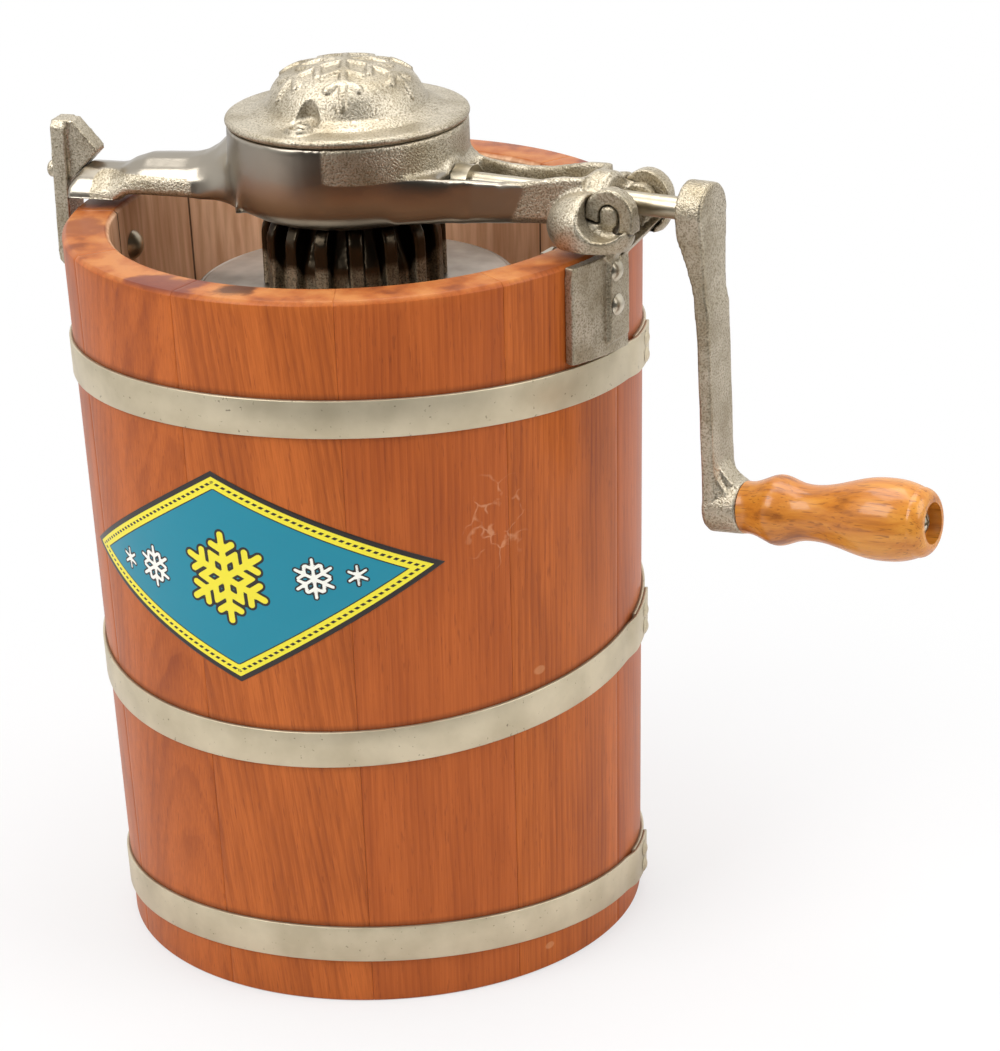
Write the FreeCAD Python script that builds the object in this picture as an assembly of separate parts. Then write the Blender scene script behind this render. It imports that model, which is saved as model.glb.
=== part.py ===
"""Hand crank ice cream freezer: a coopered tub, a can with its dasher, and a geared crank frame.

Millimetres. The origin is on the tub's axis at the floor, +Z up, and +X runs along the crank shaft
towards the crank.
"""
import FreeCAD
import Part
import math
import os

V = FreeCAD.Vector
ORIGIN = V(0, 0, 0)
UP = V(0, 0, 1)
ALONG_X = V(1, 0, 0)

# Clearances: a running fit's radial gap, the gap between two bodies, and a seat's gap
RUNNING = 0.05
PLAY = 0.3
SEAT = 0.1

# Tub
TUB_HEIGHT = 333.2
RIM_RADIUS = 130.0
FOOT_RADIUS = 0.93 * RIM_RADIUS
WALL = 20.8
STAVE_COUNT = 11
FIRST_STAVE_JOINT = -28.8
RIM_CHAMFER = 1.8
CROZE_DEPTH = 5.2
BOARD_COUNT = 3
BOARD_THICKNESS = 20.0
BOARD_HEIGHT = 16.0
TONGUE_THICKNESS = 12.0
DRAIN_RADIUS = 9.5
DRAIN_HEIGHT = TUB_HEIGHT - 98.2
DRAIN_AZIMUTH = 118.5

# Hoops: height of the middle, slope along X and slope along Y in degrees
HOOP_WIDTH = 17.0
HOOP_THICKNESS = 1.6
HOOPS = {"top": (TUB_HEIGHT - 58.1, 0.5, -2.8), "middle": (0.4163 * TUB_HEIGHT, -0.4, 5.9),
         "bottom": (19.8, 1.5, -4.4)}
LAP_START = 13.0
LAP_END = 25.0
HOOP_RIVET_AZIMUTH = 19.0
HOOP_RIVET_SPACING = 8.0
HOOP_RIVET_RADIUS = 1.9

# Pivot, can and lid
PIVOT_RADIUS = 22.0
PIVOT_THICKNESS = 4.0
PIVOT_TOP = BOARD_HEIGHT + BOARD_THICKNESS + PIVOT_THICKNESS
PIVOT_CONE_RADIUS = 7.0
PIVOT_TIP_RADIUS = 3.0
PIVOT_CONE_HEIGHT = 8.0
PIVOT_SCREW_RADIUS = 2.0
CAN_RADIUS = 70.0
TIN = 0.8
CAN_FLOOR = PIVOT_TOP + 10.0
CAN_RIM_DROP = 3.2
LID_HEIGHT = TUB_HEIGHT - 30.2
SKIRT_DEPTH = 14.0
LID_RIVET_CIRCLE = 20.0
LID_RIVET_RADIUS = 2.0

# Bevel gears: both sixteen tooth gears share the pinion's apex on the shaft
SHAFT_HEIGHT = TUB_HEIGHT + 21.2
SHAFT_RADIUS = 5.0
PINION_TEETH = 8
GEAR_TEETH = 16
GEAR_PITCH_RADIUS = 30.0
PINION_PITCH_RADIUS = GEAR_PITCH_RADIUS * PINION_TEETH / GEAR_TEETH
MODULE = 2 * GEAR_PITCH_RADIUS / GEAR_TEETH
FACE_SHARE = 0.62
ADDENDUM = 0.775 * MODULE
DEDENDUM = 1.04 * MODULE
TOOTH_PITCH_HALF = 0.56 * MODULE
TOOTH_TIP_HALF = 0.27 * MODULE
TOOTH_ROOT_HALF = 0.8 * MODULE
CLAW_WIDTH = 6.4
CLAW_REACH = GEAR_PITCH_RADIUS + 11.3
PIN_RADIUS = 1.5

# Dasher and beater
STEM_RADIUS = 10.0
STEM_SQUARE = 11.6
DASHER_ARM_X = CAN_RADIUS - 10.0
DASHER_BAR_HALF = 7.0
DASHER_FOOT = CAN_FLOOR + 7.0
DASHER_TOP = LID_HEIGHT - 10.0
SCRAPER_PIN_RADIUS = 1.8
CENTRE_PIN_RADIUS = 8.0
PIN_SQUARE = 9.0
BEATER_REACH = CAN_RADIUS - 38.0
BEATER_ROD_RADIUS = 5.0

# Gear frame
DRUM_RADIUS = GEAR_PITCH_RADIUS + 24.0
DRUM_WALL = 5.0
DRUM_FLOOR = TUB_HEIGHT + 4.8
DRUM_RIM = SHAFT_HEIGHT + PINION_PITCH_RADIUS + 7.6
DRUM_OPENING = GEAR_PITCH_RADIUS + 10.0
DRUM_FILLET = 12.0
ARM_BLEND = 30.0
ARM_HALF = 17.0
TONGUE_END = RIM_RADIUS + 2.0
TONGUE_HEIGHT = 17.8
BOSS_RADIUS = 12.8
BOSS_START = RIM_RADIUS - 5.0
BOSS_END = RIM_RADIUS + 5.0
TROUGH_TOP = SHAFT_HEIGHT + 6.1
TROUGH_FLOOR = SHAFT_HEIGHT - 9.4
TROUGH_WALL = 4.5
TROUGH_BLEND = 50.0
TROUGH_HALF = 17.5
TROUGH_HALF_FAR = 14.5
COVER_RADIUS = DRUM_RADIUS + 0.7
COVER_THICKNESS = 4.4
DOME_RADIUS = DRUM_RADIUS - 12.0
DOME_HEIGHT = 24.2
DOME_WALL = 8.0
SCREW_BOSS_RADIUS = 5.8
COVER_SCREW_CIRCLE = DRUM_RADIUS - 10.5
COVER_SCREW_AZIMUTH = -86.0
COVER_SCREW_RADIUS = 2.0
SPINDLE_RADIUS = 9.0
SPINDLE_LENGTH = 15.0

# Ear at the crank side
EAR_FRONT_ANGLE = -14.2
EAR_REAR_ANGLE = 4.5
EAR_THICKNESS = 5.0
EAR_RIB = (-10.0, 7.0)
EAR_RIB_RISE = 1.8
EAR_BOLT_Y = -4.5
EAR_TOP = TUB_HEIGHT - 0.8
EAR_FOOT_FRONT = TUB_HEIGHT - 44.2
EAR_FOOT_REAR = TUB_HEIGHT - 47.7
TRUNNION_X = RIM_RADIUS + 11.5
TRUNNION_HEIGHT = TUB_HEIGHT + 20.3
TRUNNION_RADIUS = 4.5
HOOK_THICKNESS = 6.5
HOOK_INSIDE = BOSS_RADIUS + 0.4
HOOK_WIDTH = 7.0
EAR_BOLT_HEIGHTS = (TUB_HEIGHT - 24.0, TUB_HEIGHT - 8.6)
EAR_BOLT_RADIUS = 3.0

# Latch at the far side
LATCH_AZIMUTH = 192.0
LATCH_PIVOT_HEIGHT = TUB_HEIGHT - 21.2
LATCH_GAP = 5.2
LATCH_THICKNESS = 7.0
LATCH_HALF_WIDTH = 9.0
LATCH_TOP = TUB_HEIGHT + 37.8
NOSE_RADIUS = 30.5
NOSE_HALF_WIDTH = 5.0
NOSE_REACH = RIM_RADIUS - 8.0
LATCH_RIVET_RADIUS = 3.9

# Crank and handle
HUB_START = BOSS_END + 34.0
HUB_END = HUB_START + 12.5
HUB_RADIUS = 13.0
CRANK_THROW = 133.0
CRANK_LEAN = 1.7
ARM_THICKNESS = 5.0
ARM_HALF_WIDTH = 10.4
HANDLE_BOSS_END = HUB_END + 11.6
HANDLE_BOSS_RADIUS = 11.8
HANDLE_TILT = 4.4
HANDLE_LENGTH = 88.0
HANDLE_SCREW_RADIUS = 3.0
COLLAR_RADIUS = 8.0
COLLAR_LENGTH = 8.0

# Label, as a lozenge on the tub's front
LABEL_AZIMUTH = -86.9
LABEL_HEIGHT = TUB_HEIGHT - 128.2
LABEL_HALF_ANGLE = 44.4
LABEL_HALF_HEIGHT = 49.2
LABEL_SLANT = 4.2
LABEL_THICKNESS = 0.3


def tub_radius(z):
    """Outer radius of the tub at a height."""
    return FOOT_RADIUS + (RIM_RADIUS - FOOT_RADIUS) * z / TUB_HEIGHT


def polar(radius, azimuth, z=0.0):
    """Point at a radius and an azimuth in degrees."""
    angle = math.radians(azimuth)
    return V(radius * math.cos(angle), radius * math.sin(angle), z)


def cylinder(radius, start, direction, length):
    """Cylinder from a start point along a direction."""
    return Part.makeCylinder(radius, length, start, direction)


def upright(radius, low, high, x=0.0, y=0.0):
    """Vertical cylinder between two heights."""
    return cylinder(radius, V(x, y, low), UP, high - low)


def crosswise(radius, low, high, z=SHAFT_HEIGHT, y=0.0):
    """Cylinder along X between two places."""
    return cylinder(radius, V(low, y, z), ALONG_X, high - low)


def block(x, y, z):
    """Box between pairs of bounds."""
    return Part.makeBox(x[1] - x[0], y[1] - y[0], z[1] - z[0], V(x[0], y[0], z[0]))


def join(solids):
    """Fuse a list of solids into one clean shape."""
    result = solids[0].multiFuse(solids[1:]) if len(solids) > 1 else solids[0]
    return result.removeSplitter()


def turned(shape, azimuth):
    """Copy of a shape turned about the tub's axis."""
    copy = shape.copy()
    copy.rotate(ORIGIN, UP, azimuth)
    return copy


def outline(points):
    """Face in the XZ plane; a pair of points in the list is an arc's middle and end."""
    here = points[0]
    edges = []
    for step in points[1:] + [points[0]]:
        if isinstance(step[0], tuple):
            middle, end = step
            edges.append(Part.Arc(flat(here), flat(middle), flat(end)).toShape())
            here = end
        else:
            if flat(here).distanceToPoint(flat(step)) > 1e-6:
                edges.append(Part.makeLine(flat(here), flat(step)))
            here = step
    return Part.Face(Part.Wire(edges))


def flat(point):
    """Point of the XZ plane from a pair."""
    return V(point[0], 0, point[1])


def lathe(points, angle=360.0):
    """Solid turned about Z from an outline of radius and height."""
    return outline(points).revolve(ORIGIN, UP, angle)


def slab(points, low, high):
    """Outline of X and Z carried along Y between two places."""
    face = outline(points)
    face.translate(V(0, low, 0))
    return face.extrude(V(0, high - low, 0))


def sector(azimuth_start, azimuth_end, radius, low, high):
    """Wedge about the tub's axis between two azimuths."""
    points = [(0.0, low), (radius, low), (radius, high), (0.0, high)]
    return turned(lathe(points, azimuth_end - azimuth_start), azimuth_start)


def cone_shell(inner, outer, low, high):
    """Ring that follows the tub's outside between two offsets from it."""
    points = [(tub_radius(low) + inner, low), (tub_radius(low) + outer, low),
              (tub_radius(high) + outer, high), (tub_radius(high) + inner, high)]
    return lathe(points)


def outward(azimuth):
    """Direction square to the tub's outside at an azimuth."""
    slope = (RIM_RADIUS - FOOT_RADIUS) / TUB_HEIGHT
    direction = polar(1.0, azimuth, -slope)
    return direction.normalize()


def dome(radius, height, base, direction):
    """Domed head that stands on a base point."""
    ball = (radius * radius + height * height) / (2 * height)
    centre = base + direction * (height - ball)
    sphere = Part.makeSphere(ball, centre)
    return sphere.common(cylinder(radius + 1, base, direction, height + 1))


def hex_or_square(sides, across, thickness, base, direction):
    """Nut blank with flat sides."""
    reach = across / 2 / math.cos(math.pi / sides)
    corners = [V(reach * math.cos(2 * math.pi * (i + 0.5) / sides),
                 reach * math.sin(2 * math.pi * (i + 0.5) / sides), 0) for i in range(sides)]
    face = Part.Face(Part.makePolygon(corners + corners[:1]))
    nut = face.extrude(V(0, 0, thickness))
    nut.Placement = FreeCAD.Placement(base, FreeCAD.Rotation(UP, direction))
    return nut


def export(name, shape):
    """Write one named piece."""
    shape.exportStep("parts/" + name + ".step")


# Tub

def latch_hole_cutter():
    """Hole through the wall for the latch's rivet."""
    start = polar(RIM_RADIUS - 2 * WALL, LATCH_AZIMUTH, LATCH_PIVOT_HEIGHT)
    return cylinder(LATCH_RIVET_RADIUS + SEAT, start, polar(1, LATCH_AZIMUTH), 3 * WALL)


def ear_hole_cutters():
    """Holes through the wall for the ear's two bolts."""
    return [crosswise(EAR_BOLT_RADIUS + SEAT, RIM_RADIUS - 2 * WALL, RIM_RADIUS + WALL, z, EAR_BOLT_Y)
            for z in EAR_BOLT_HEIGHTS]


def drain_cutter():
    """Round drain for the brine."""
    start = polar(RIM_RADIUS - 2 * WALL, DRAIN_AZIMUTH, DRAIN_HEIGHT)
    return cylinder(DRAIN_RADIUS, start, polar(1, DRAIN_AZIMUTH), 3 * WALL)


def stave_profile():
    """Section of a stave with its chamfered rim and the croze groove for the bottom boards."""
    inner_foot = FOOT_RADIUS - WALL
    inner_rim = RIM_RADIUS - WALL
    groove_low = BOARD_HEIGHT + (BOARD_THICKNESS - TONGUE_THICKNESS) / 2 - SEAT
    groove_high = groove_low + TONGUE_THICKNESS + 2 * SEAT
    groove_radius = tub_radius(BOARD_HEIGHT) - WALL + CROZE_DEPTH
    return [(inner_foot, 0.0), (FOOT_RADIUS, 0.0),
            (tub_radius(TUB_HEIGHT - RIM_CHAMFER), TUB_HEIGHT - RIM_CHAMFER),
            (RIM_RADIUS - RIM_CHAMFER, TUB_HEIGHT), (inner_rim + RIM_CHAMFER, TUB_HEIGHT),
            (inner_rim, TUB_HEIGHT - RIM_CHAMFER),
            (tub_radius(groove_high) - WALL, groove_high), (groove_radius, groove_high),
            (groove_radius, groove_low), (tub_radius(groove_low) - WALL, groove_low)]


def make_staves():
    """Eleven staves, side by side round the tub."""
    step = 360.0 / STAVE_COUNT
    blank = lathe(stave_profile(), step)
    cutters = [latch_hole_cutter(), drain_cutter()] + ear_hole_cutters()
    for number in range(STAVE_COUNT):
        stave = turned(blank, FIRST_STAVE_JOINT + number * step)
        export("stave_%02d" % (number + 1), stave.cut(Part.makeCompound(cutters)))


def make_bottom_boards():
    """Boards of the bottom, with a tongue all round that sits in the staves' groove."""
    inner = tub_radius(BOARD_HEIGHT) - WALL - PLAY
    reach = tub_radius(BOARD_HEIGHT) - WALL + CROZE_DEPTH - PLAY
    tongue_low = BOARD_HEIGHT + (BOARD_THICKNESS - TONGUE_THICKNESS) / 2
    disc = join([upright(inner, BOARD_HEIGHT, BOARD_HEIGHT + BOARD_THICKNESS),
                 upright(reach, tongue_low, tongue_low + TONGUE_THICKNESS)])
    width = 2 * reach / BOARD_COUNT
    for number in range(BOARD_COUNT):
        low = -reach + number * width
        strip = block((-reach, reach), (low, low + width), (0.0, TUB_HEIGHT / 2))
        export("bottom_board_%d" % (number + 1), disc.common(strip))


def hoop_height(name, point):
    """Height of the middle of a hoop over a point of the plan."""
    middle, slope_x, slope_y = HOOPS[name]
    return (middle + point.x * math.tan(math.radians(slope_x))
            + point.y * math.tan(math.radians(slope_y)))


def hoop_band(name):
    """Space between the two parallel planes that bound a hoop."""
    middle, slope_x, slope_y = HOOPS[name]
    normal = V(-math.tan(math.radians(slope_x)), -math.tan(math.radians(slope_y)), 1)
    side = 3 * RIM_RADIUS
    band = Part.makeBox(side, side, HOOP_WIDTH, V(-side / 2, -side / 2, -HOOP_WIDTH / 2))
    band.Placement = FreeCAD.Placement(V(0, 0, middle), FreeCAD.Rotation(UP, normal))
    return band


def hoop_rivet_places(name):
    """Start points of the two rivets that close a hoop."""
    foot = polar(tub_radius(HOOPS[name][0]), HOOP_RIVET_AZIMUTH)
    middle = hoop_height(name, foot)
    heights = (middle - HOOP_RIVET_SPACING / 2, middle + HOOP_RIVET_SPACING / 2)
    return [polar(tub_radius(z) + SEAT, HOOP_RIVET_AZIMUTH, z) for z in heights]


def make_hoop(name):
    """Flat hoop round the staves, with a riveted lap; gives back its rivets."""
    middle = HOOPS[name][0]
    low = max(0.5, middle - 3 * HOOP_WIDTH)
    high = middle + 3 * HOOP_WIDTH
    lap = cone_shell(HOOP_THICKNESS, 2 * HOOP_THICKNESS, low, high)
    lap = lap.common(sector(LAP_START, LAP_END, 2 * RIM_RADIUS, low, high))
    hoop = join([cone_shell(0.0, HOOP_THICKNESS, low, high), lap]).common(hoop_band(name))
    direction = outward(HOOP_RIVET_AZIMUTH)
    length = 2 * HOOP_THICKNESS
    rivets = []
    for place in hoop_rivet_places(name):
        hoop = hoop.cut(cylinder(HOOP_RIVET_RADIUS + RUNNING, place - direction, direction, 4 * length))
        head = dome(2 * HOOP_RIVET_RADIUS, HOOP_THICKNESS, place + direction * length, direction)
        rivets.append(join([cylinder(HOOP_RIVET_RADIUS, place, direction, length), head]))
    export("hoop_" + name, hoop)
    return rivets


def make_hoops():
    """Three hoops, and all their rivets in one group."""
    rivets = []
    for name in HOOPS:
        rivets += make_hoop(name)
    export("hoop_rivets", Part.makeCompound(rivets))


def make_label():
    """Paper lozenge that follows the tub's outside."""
    low = LABEL_HEIGHT - 2 * LABEL_HALF_HEIGHT
    high = LABEL_HEIGHT + 2 * LABEL_HALF_HEIGHT
    paper = cone_shell(SEAT / 2, LABEL_THICKNESS, low, high)
    paper = paper.common(sector(LABEL_AZIMUTH - 60, LABEL_AZIMUTH + 60, 2 * RIM_RADIUS, low, high))
    half_width = tub_radius(LABEL_HEIGHT) * math.radians(LABEL_HALF_ANGLE)
    slant = math.radians(LABEL_SLANT)
    corners = []
    for along, up in ((half_width, 0), (0, LABEL_HALF_HEIGHT), (-half_width, 0), (0, -LABEL_HALF_HEIGHT)):
        arc = along * math.cos(slant) - up * math.sin(slant)
        rise = along * math.sin(slant) + up * math.cos(slant)
        turn = math.degrees(arc / tub_radius(LABEL_HEIGHT))
        corners.append((LABEL_AZIMUTH + turn, LABEL_HEIGHT + rise))
    for start, end in zip(corners, corners[1:] + corners[:1]):
        paper = paper.cut(label_trimmer(start, end))
    export("label", paper)


def label_trimmer(start, end):
    """Block beyond one edge of the lozenge."""
    first = polar(tub_radius(start[1]), start[0], start[1])
    second = polar(tub_radius(end[1]), end[0], end[1])
    depth = polar(1.0, (start[0] + end[0]) / 2)
    along = second - first
    side = along.cross(depth)
    side.normalize()
    along.normalize()
    reach = 3 * LABEL_HALF_HEIGHT
    ends = [first - along * reach, second + along * reach]
    corners = [ends[0], ends[1], ends[1] + side * reach, ends[0] + side * reach]
    if (V(0, 0, LABEL_HEIGHT) - first).dot(UP) * side.dot(UP) > 0:
        corners = [ends[0], ends[1], ends[1] - side * reach, ends[0] - side * reach]
    face = Part.Face(Part.makePolygon([p - depth * RIM_RADIUS / 2 for p in corners + corners[:1]]))
    return face.extrude(depth * RIM_RADIUS)


# Pivot, can and lid

def make_pivot():
    """Pivot plate on the bottom boards, with a cone for the can and three screws."""
    low = BOARD_HEIGHT + BOARD_THICKNESS
    top = PIVOT_TOP
    plate = lathe([(0.0, low), (PIVOT_RADIUS, low), (PIVOT_RADIUS, top - 1), (PIVOT_RADIUS - 1, top),
                   (PIVOT_CONE_RADIUS, top), (PIVOT_TIP_RADIUS, top + PIVOT_CONE_HEIGHT),
                   (0.0, top + PIVOT_CONE_HEIGHT)])
    screws = []
    for number in range(3):
        place = polar(PIVOT_RADIUS - 6, 30 + 120 * number, low)
        plate = plate.cut(cylinder(PIVOT_SCREW_RADIUS + SEAT, place - UP, UP, 4 * PIVOT_THICKNESS))
        shank = cylinder(PIVOT_SCREW_RADIUS, place, UP, PIVOT_THICKNESS)
        screws.append(join([shank, dome(3.6, 2.0, place + UP * PIVOT_THICKNESS, UP)]))
    export("pivot_plate", plate)
    export("pivot_screws", Part.makeCompound(screws))


def make_can():
    """Tinned can, the socket casting under it, and the centre pin through its floor."""
    rim = CAN_FLOOR - CAN_RIM_DROP
    top = LID_HEIGHT - 2.5
    shell = lathe([(CAN_RADIUS - TIN, rim), (CAN_RADIUS, rim), (CAN_RADIUS, top), (CAN_RADIUS - TIN, top)])
    floor = upright(CAN_RADIUS - TIN / 2, CAN_FLOOR, CAN_FLOOR + TIN)
    bead = Part.makeTorus(CAN_RADIUS + 0.4, 1.4, V(0, 0, rim + 1.4))
    can = join([shell, floor, bead]).cut(upright(CENTRE_PIN_RADIUS + RUNNING, rim, CAN_FLOOR + 2 * TIN))
    export("can_body", can)
    low = PIVOT_TOP + 3.0
    slope = (PIVOT_CONE_RADIUS - PIVOT_TIP_RADIUS) / PIVOT_CONE_HEIGHT
    mouth = PIVOT_CONE_RADIUS - (low - PIVOT_TOP) * slope + PLAY
    peak = PIVOT_TOP + PIVOT_CONE_HEIGHT + PLAY
    socket = lathe([(mouth, low), (20.0, low), (20.0, CAN_FLOOR), (CENTRE_PIN_RADIUS, CAN_FLOOR),
                    (CENTRE_PIN_RADIUS, CAN_FLOOR + 15), (0.0, CAN_FLOOR + 15), (0.0, peak),
                    (PIVOT_TIP_RADIUS + PLAY, peak)])
    half = PIN_SQUARE / 2
    square = block((-half, half), (-half, half), (CAN_FLOOR + 14, CAN_FLOOR + 30))
    export("can_socket", join([socket, square]))


def make_lid():
    """Lid with a skirt outside the can, a rolled bead, and four rivets for its gear."""
    inside = CAN_RADIUS + PLAY
    outside = inside + TIN + 0.2
    bore = STEM_RADIUS + 0.6
    skirt = LID_HEIGHT - SKIRT_DEPTH
    edge = LID_HEIGHT - 2.0
    lid = lathe([(inside, skirt), (outside, skirt), (outside, edge), (outside - 2, edge + 1.0),
                 (CLAW_REACH + 2.7, LID_HEIGHT), (bore, LID_HEIGHT), (bore, LID_HEIGHT - 1.2),
                 (CLAW_REACH + 2.7, LID_HEIGHT - 1.2),
                 (inside, edge - 0.2)])
    bead = Part.makeTorus(outside - 0.4, 1.2, V(0, 0, edge - 0.6))
    rivets = []
    for number in range(4):
        place = polar(LID_RIVET_CIRCLE, 45 + 90 * number, LID_HEIGHT - 1.2)
        lid = lid.cut(cylinder(LID_RIVET_RADIUS + SEAT, place - UP, UP, 5))
        shank = cylinder(LID_RIVET_RADIUS, place, UP, 6.0)
        rivets.append(join([shank, dome(3.4, 1.6, place, -UP)]))
    lid = join([lid, bead]).cut(upright(inside, skirt - 1, edge - 0.2))
    export("can_lid", lid)
    export("lid_rivets", Part.makeCompound(rivets))


# Bevel gears

def cone_distance():
    """Outer length of the pitch cones, from the apex on the shaft."""
    return math.hypot(GEAR_PITCH_RADIUS, PINION_PITCH_RADIUS)


def pitch_angle(teeth, mate):
    """Pitch cone half angle of a bevel gear."""
    return math.atan2(teeth, mate)


def tooth(angle):
    """Straight bevel tooth on the +X side of a gear whose apex is the origin and whose axis is +Z."""
    wires = []
    for share in (1.0, FACE_SHARE):
        base = V(math.sin(angle), 0, math.cos(angle)) * cone_distance()
        out = V(math.cos(angle), 0, -math.sin(angle))
        corners = []
        for rise, half in ((-DEDENDUM - 1, TOOTH_ROOT_HALF), (0, TOOTH_PITCH_HALF), (ADDENDUM, TOOTH_TIP_HALF)):
            corners.append(base + out * rise + V(0, half, 0))
        for rise, half in ((ADDENDUM, TOOTH_TIP_HALF), (0, TOOTH_PITCH_HALF), (-DEDENDUM - 1, TOOTH_ROOT_HALF)):
            corners.append(base + out * rise - V(0, half, 0))
        wires.append(Part.makePolygon([p * share for p in corners + corners[:1]]))
    return Part.makeLoft(wires, True, True)


def cone_point(angle, rise, share):
    """Radius and height of a point of a bevel gear, at a rise above its pitch cone."""
    distance = cone_distance() * share
    return (distance * math.sin(angle) + rise * share * math.cos(angle),
            distance * math.cos(angle) - rise * share * math.sin(angle))


def toothed(angle, teeth, first):
    """All the teeth of one gear, the first at a turn from +X."""
    blank = tooth(angle)
    return [turned(blank, first + 360.0 * number / teeth) for number in range(teeth)]


def make_lid_gear():
    """Gear on the can lid: teeth on top, and claws that arch down to the lid."""
    angle = pitch_angle(GEAR_TEETH, PINION_TEETH)
    gap = 180.0 / GEAR_TEETH
    teeth = toothed(angle, GEAR_TEETH, gap)
    placement = FreeCAD.Placement(V(0, 0, SHAFT_HEIGHT), FreeCAD.Rotation(ALONG_X, 180))
    for item in teeth:
        item.Placement = placement.multiply(item.Placement)
    low = LID_HEIGHT + SEAT
    root_out = cone_point(angle, -DEDENDUM, 1.0)
    root_in = cone_point(angle, -DEDENDUM, FACE_SHARE)
    bore = STEM_RADIUS + SEAT
    core = lathe([(bore, low), (CLAW_REACH - 5.5, low), (CLAW_REACH - 6.5, low + 14),
                  (root_out[0] + 2.0, SHAFT_HEIGHT - root_out[1] - 7),
                  (root_out[0], SHAFT_HEIGHT - root_out[1]), (root_in[0], SHAFT_HEIGHT - root_in[1]),
                  (bore, SHAFT_HEIGHT - root_in[1])])
    for number in range(4):
        x, y, _ = polar(LID_RIVET_CIRCLE, 45 + 90 * number)
        core = core.cut(upright(LID_RIVET_RADIUS + SEAT, low - 1, low + 6, x, y))
    tip = cone_point(angle, ADDENDUM, 1.0)
    tip_height = SHAFT_HEIGHT - tip[1]
    reach = CLAW_REACH
    shoulder = tip_height - 16.0
    claw = slab([(reach - 6.5, low), (reach, low), (reach, shoulder),
                 ((reach - 2.3, shoulder + 7.9), (tip[0] + 1.6, tip_height - 2.6)), (tip[0] + 0.6, tip_height - 0.5),
                 (root_out[0] + 1.3, SHAFT_HEIGHT - root_out[1]),
                 (root_out[0] - 2, SHAFT_HEIGHT - root_out[1] - 2), (root_out[0] - 2, low + 20)],
                -CLAW_WIDTH / 2, CLAW_WIDTH / 2)
    claws = [turned(claw, gap + 360.0 * number / GEAR_TEETH) for number in range(GEAR_TEETH)]
    export("lid_gear", join([core] + claws + teeth))


def make_dasher_gear():
    """Gear under the cover, with a square socket for the dasher and a spindle in the cover's boss."""
    angle = pitch_angle(GEAR_TEETH, PINION_TEETH)
    teeth = toothed(angle, GEAR_TEETH, 180.0 / GEAR_TEETH)
    for item in teeth:
        item.translate(V(0, 0, SHAFT_HEIGHT))
    out_r, out_z = cone_point(angle, -DEDENDUM, 1.0)
    in_r, in_z = cone_point(angle, -DEDENDUM, FACE_SHARE)
    tip_r = cone_point(angle, 0, 1.0)[0]
    back = SHAFT_HEIGHT + out_z + 6
    core = lathe([(0.0, SHAFT_HEIGHT + in_z - 4), (12.5, SHAFT_HEIGHT + in_z - 4), (in_r, SHAFT_HEIGHT + in_z),
                  (out_r, SHAFT_HEIGHT + out_z), (tip_r, back - 4), (tip_r - 2, back), (SPINDLE_RADIUS, back),
                  (SPINDLE_RADIUS, back + SPINDLE_LENGTH), (0.0, back + SPINDLE_LENGTH)])
    half = STEM_SQUARE / 2 + 0.2
    socket = block((-half, half), (-half, half), (SHAFT_HEIGHT, back + 4))
    export("dasher_gear", join([core] + teeth).cut(socket))
    return back


def make_pinion():
    """Pinion pinned to the shaft's inner end."""
    angle = pitch_angle(PINION_TEETH, GEAR_TEETH)
    teeth = toothed(angle, PINION_TEETH, 0.0)
    out_r, out_z = cone_point(angle, -DEDENDUM, 1.0)
    in_r, in_z = cone_point(angle, -DEDENDUM, FACE_SHARE)
    hub_end = DRUM_RADIUS - DRUM_WALL - 7
    core = lathe([(0.0, in_z), (in_r, in_z), (out_r, out_z), (10.0, out_z + 1.5), (10.0, hub_end), (0.0, hub_end)])
    pinion = join([core] + teeth)
    pinion.Placement = FreeCAD.Placement(V(0, 0, SHAFT_HEIGHT), FreeCAD.Rotation(UP, ALONG_X))
    pin_x = hub_end - 4.5
    pinion = pinion.cut(crosswise(SHAFT_RADIUS + SEAT / 2, 0, hub_end + 1))
    pin = upright(PIN_RADIUS, SHAFT_HEIGHT - 9.5, SHAFT_HEIGHT + 9.5, pin_x)
    hole = upright(PIN_RADIUS + RUNNING, SHAFT_HEIGHT - 12, SHAFT_HEIGHT + 12, pin_x)
    export("pinion", pinion.cut(hole))
    export("pinion_pin", pin)
    return pin_x, in_z


# Dasher and beater

def make_dasher():
    """Dasher: stem, top and bottom bars, two side arms, with a wooden scraper on each arm."""
    low = DASHER_FOOT
    arm = 3.0
    bar = DASHER_BAR_HALF
    reach = DASHER_ARM_X + arm
    pieces = [upright(STEM_RADIUS, DASHER_TOP - 9, SHAFT_HEIGHT - 6),
              upright(15.0, DASHER_TOP - 9, DASHER_TOP), upright(14.0, low, low + 8),
              block((-reach, reach), (-bar, bar), (DASHER_TOP - 9, DASHER_TOP)),
              block((-reach, reach), (-bar, bar), (low, low + 7))]
    half = STEM_SQUARE / 2
    pieces.append(block((-half, half), (-half, half), (SHAFT_HEIGHT - 7, SHAFT_HEIGHT + 20)))
    for side in (-1, 1):
        centre = side * DASHER_ARM_X
        pieces.append(block((centre - arm, centre + arm), (-bar, bar), (low, DASHER_TOP)))
    frame = join(pieces).cut(upright(CENTRE_PIN_RADIUS + SEAT, low - 1, low + 9))
    frame = frame.cut(upright(BEATER_ROD_RADIUS + SEAT, DASHER_TOP - 10, DASHER_TOP - 2))
    pins = []
    for side in (-1, 1):
        frame, new_pins = add_scraper(frame, side, low, reach)
        pins += new_pins
    export("dasher_frame", frame)
    export("scraper_pins", Part.makeCompound(pins))


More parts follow.
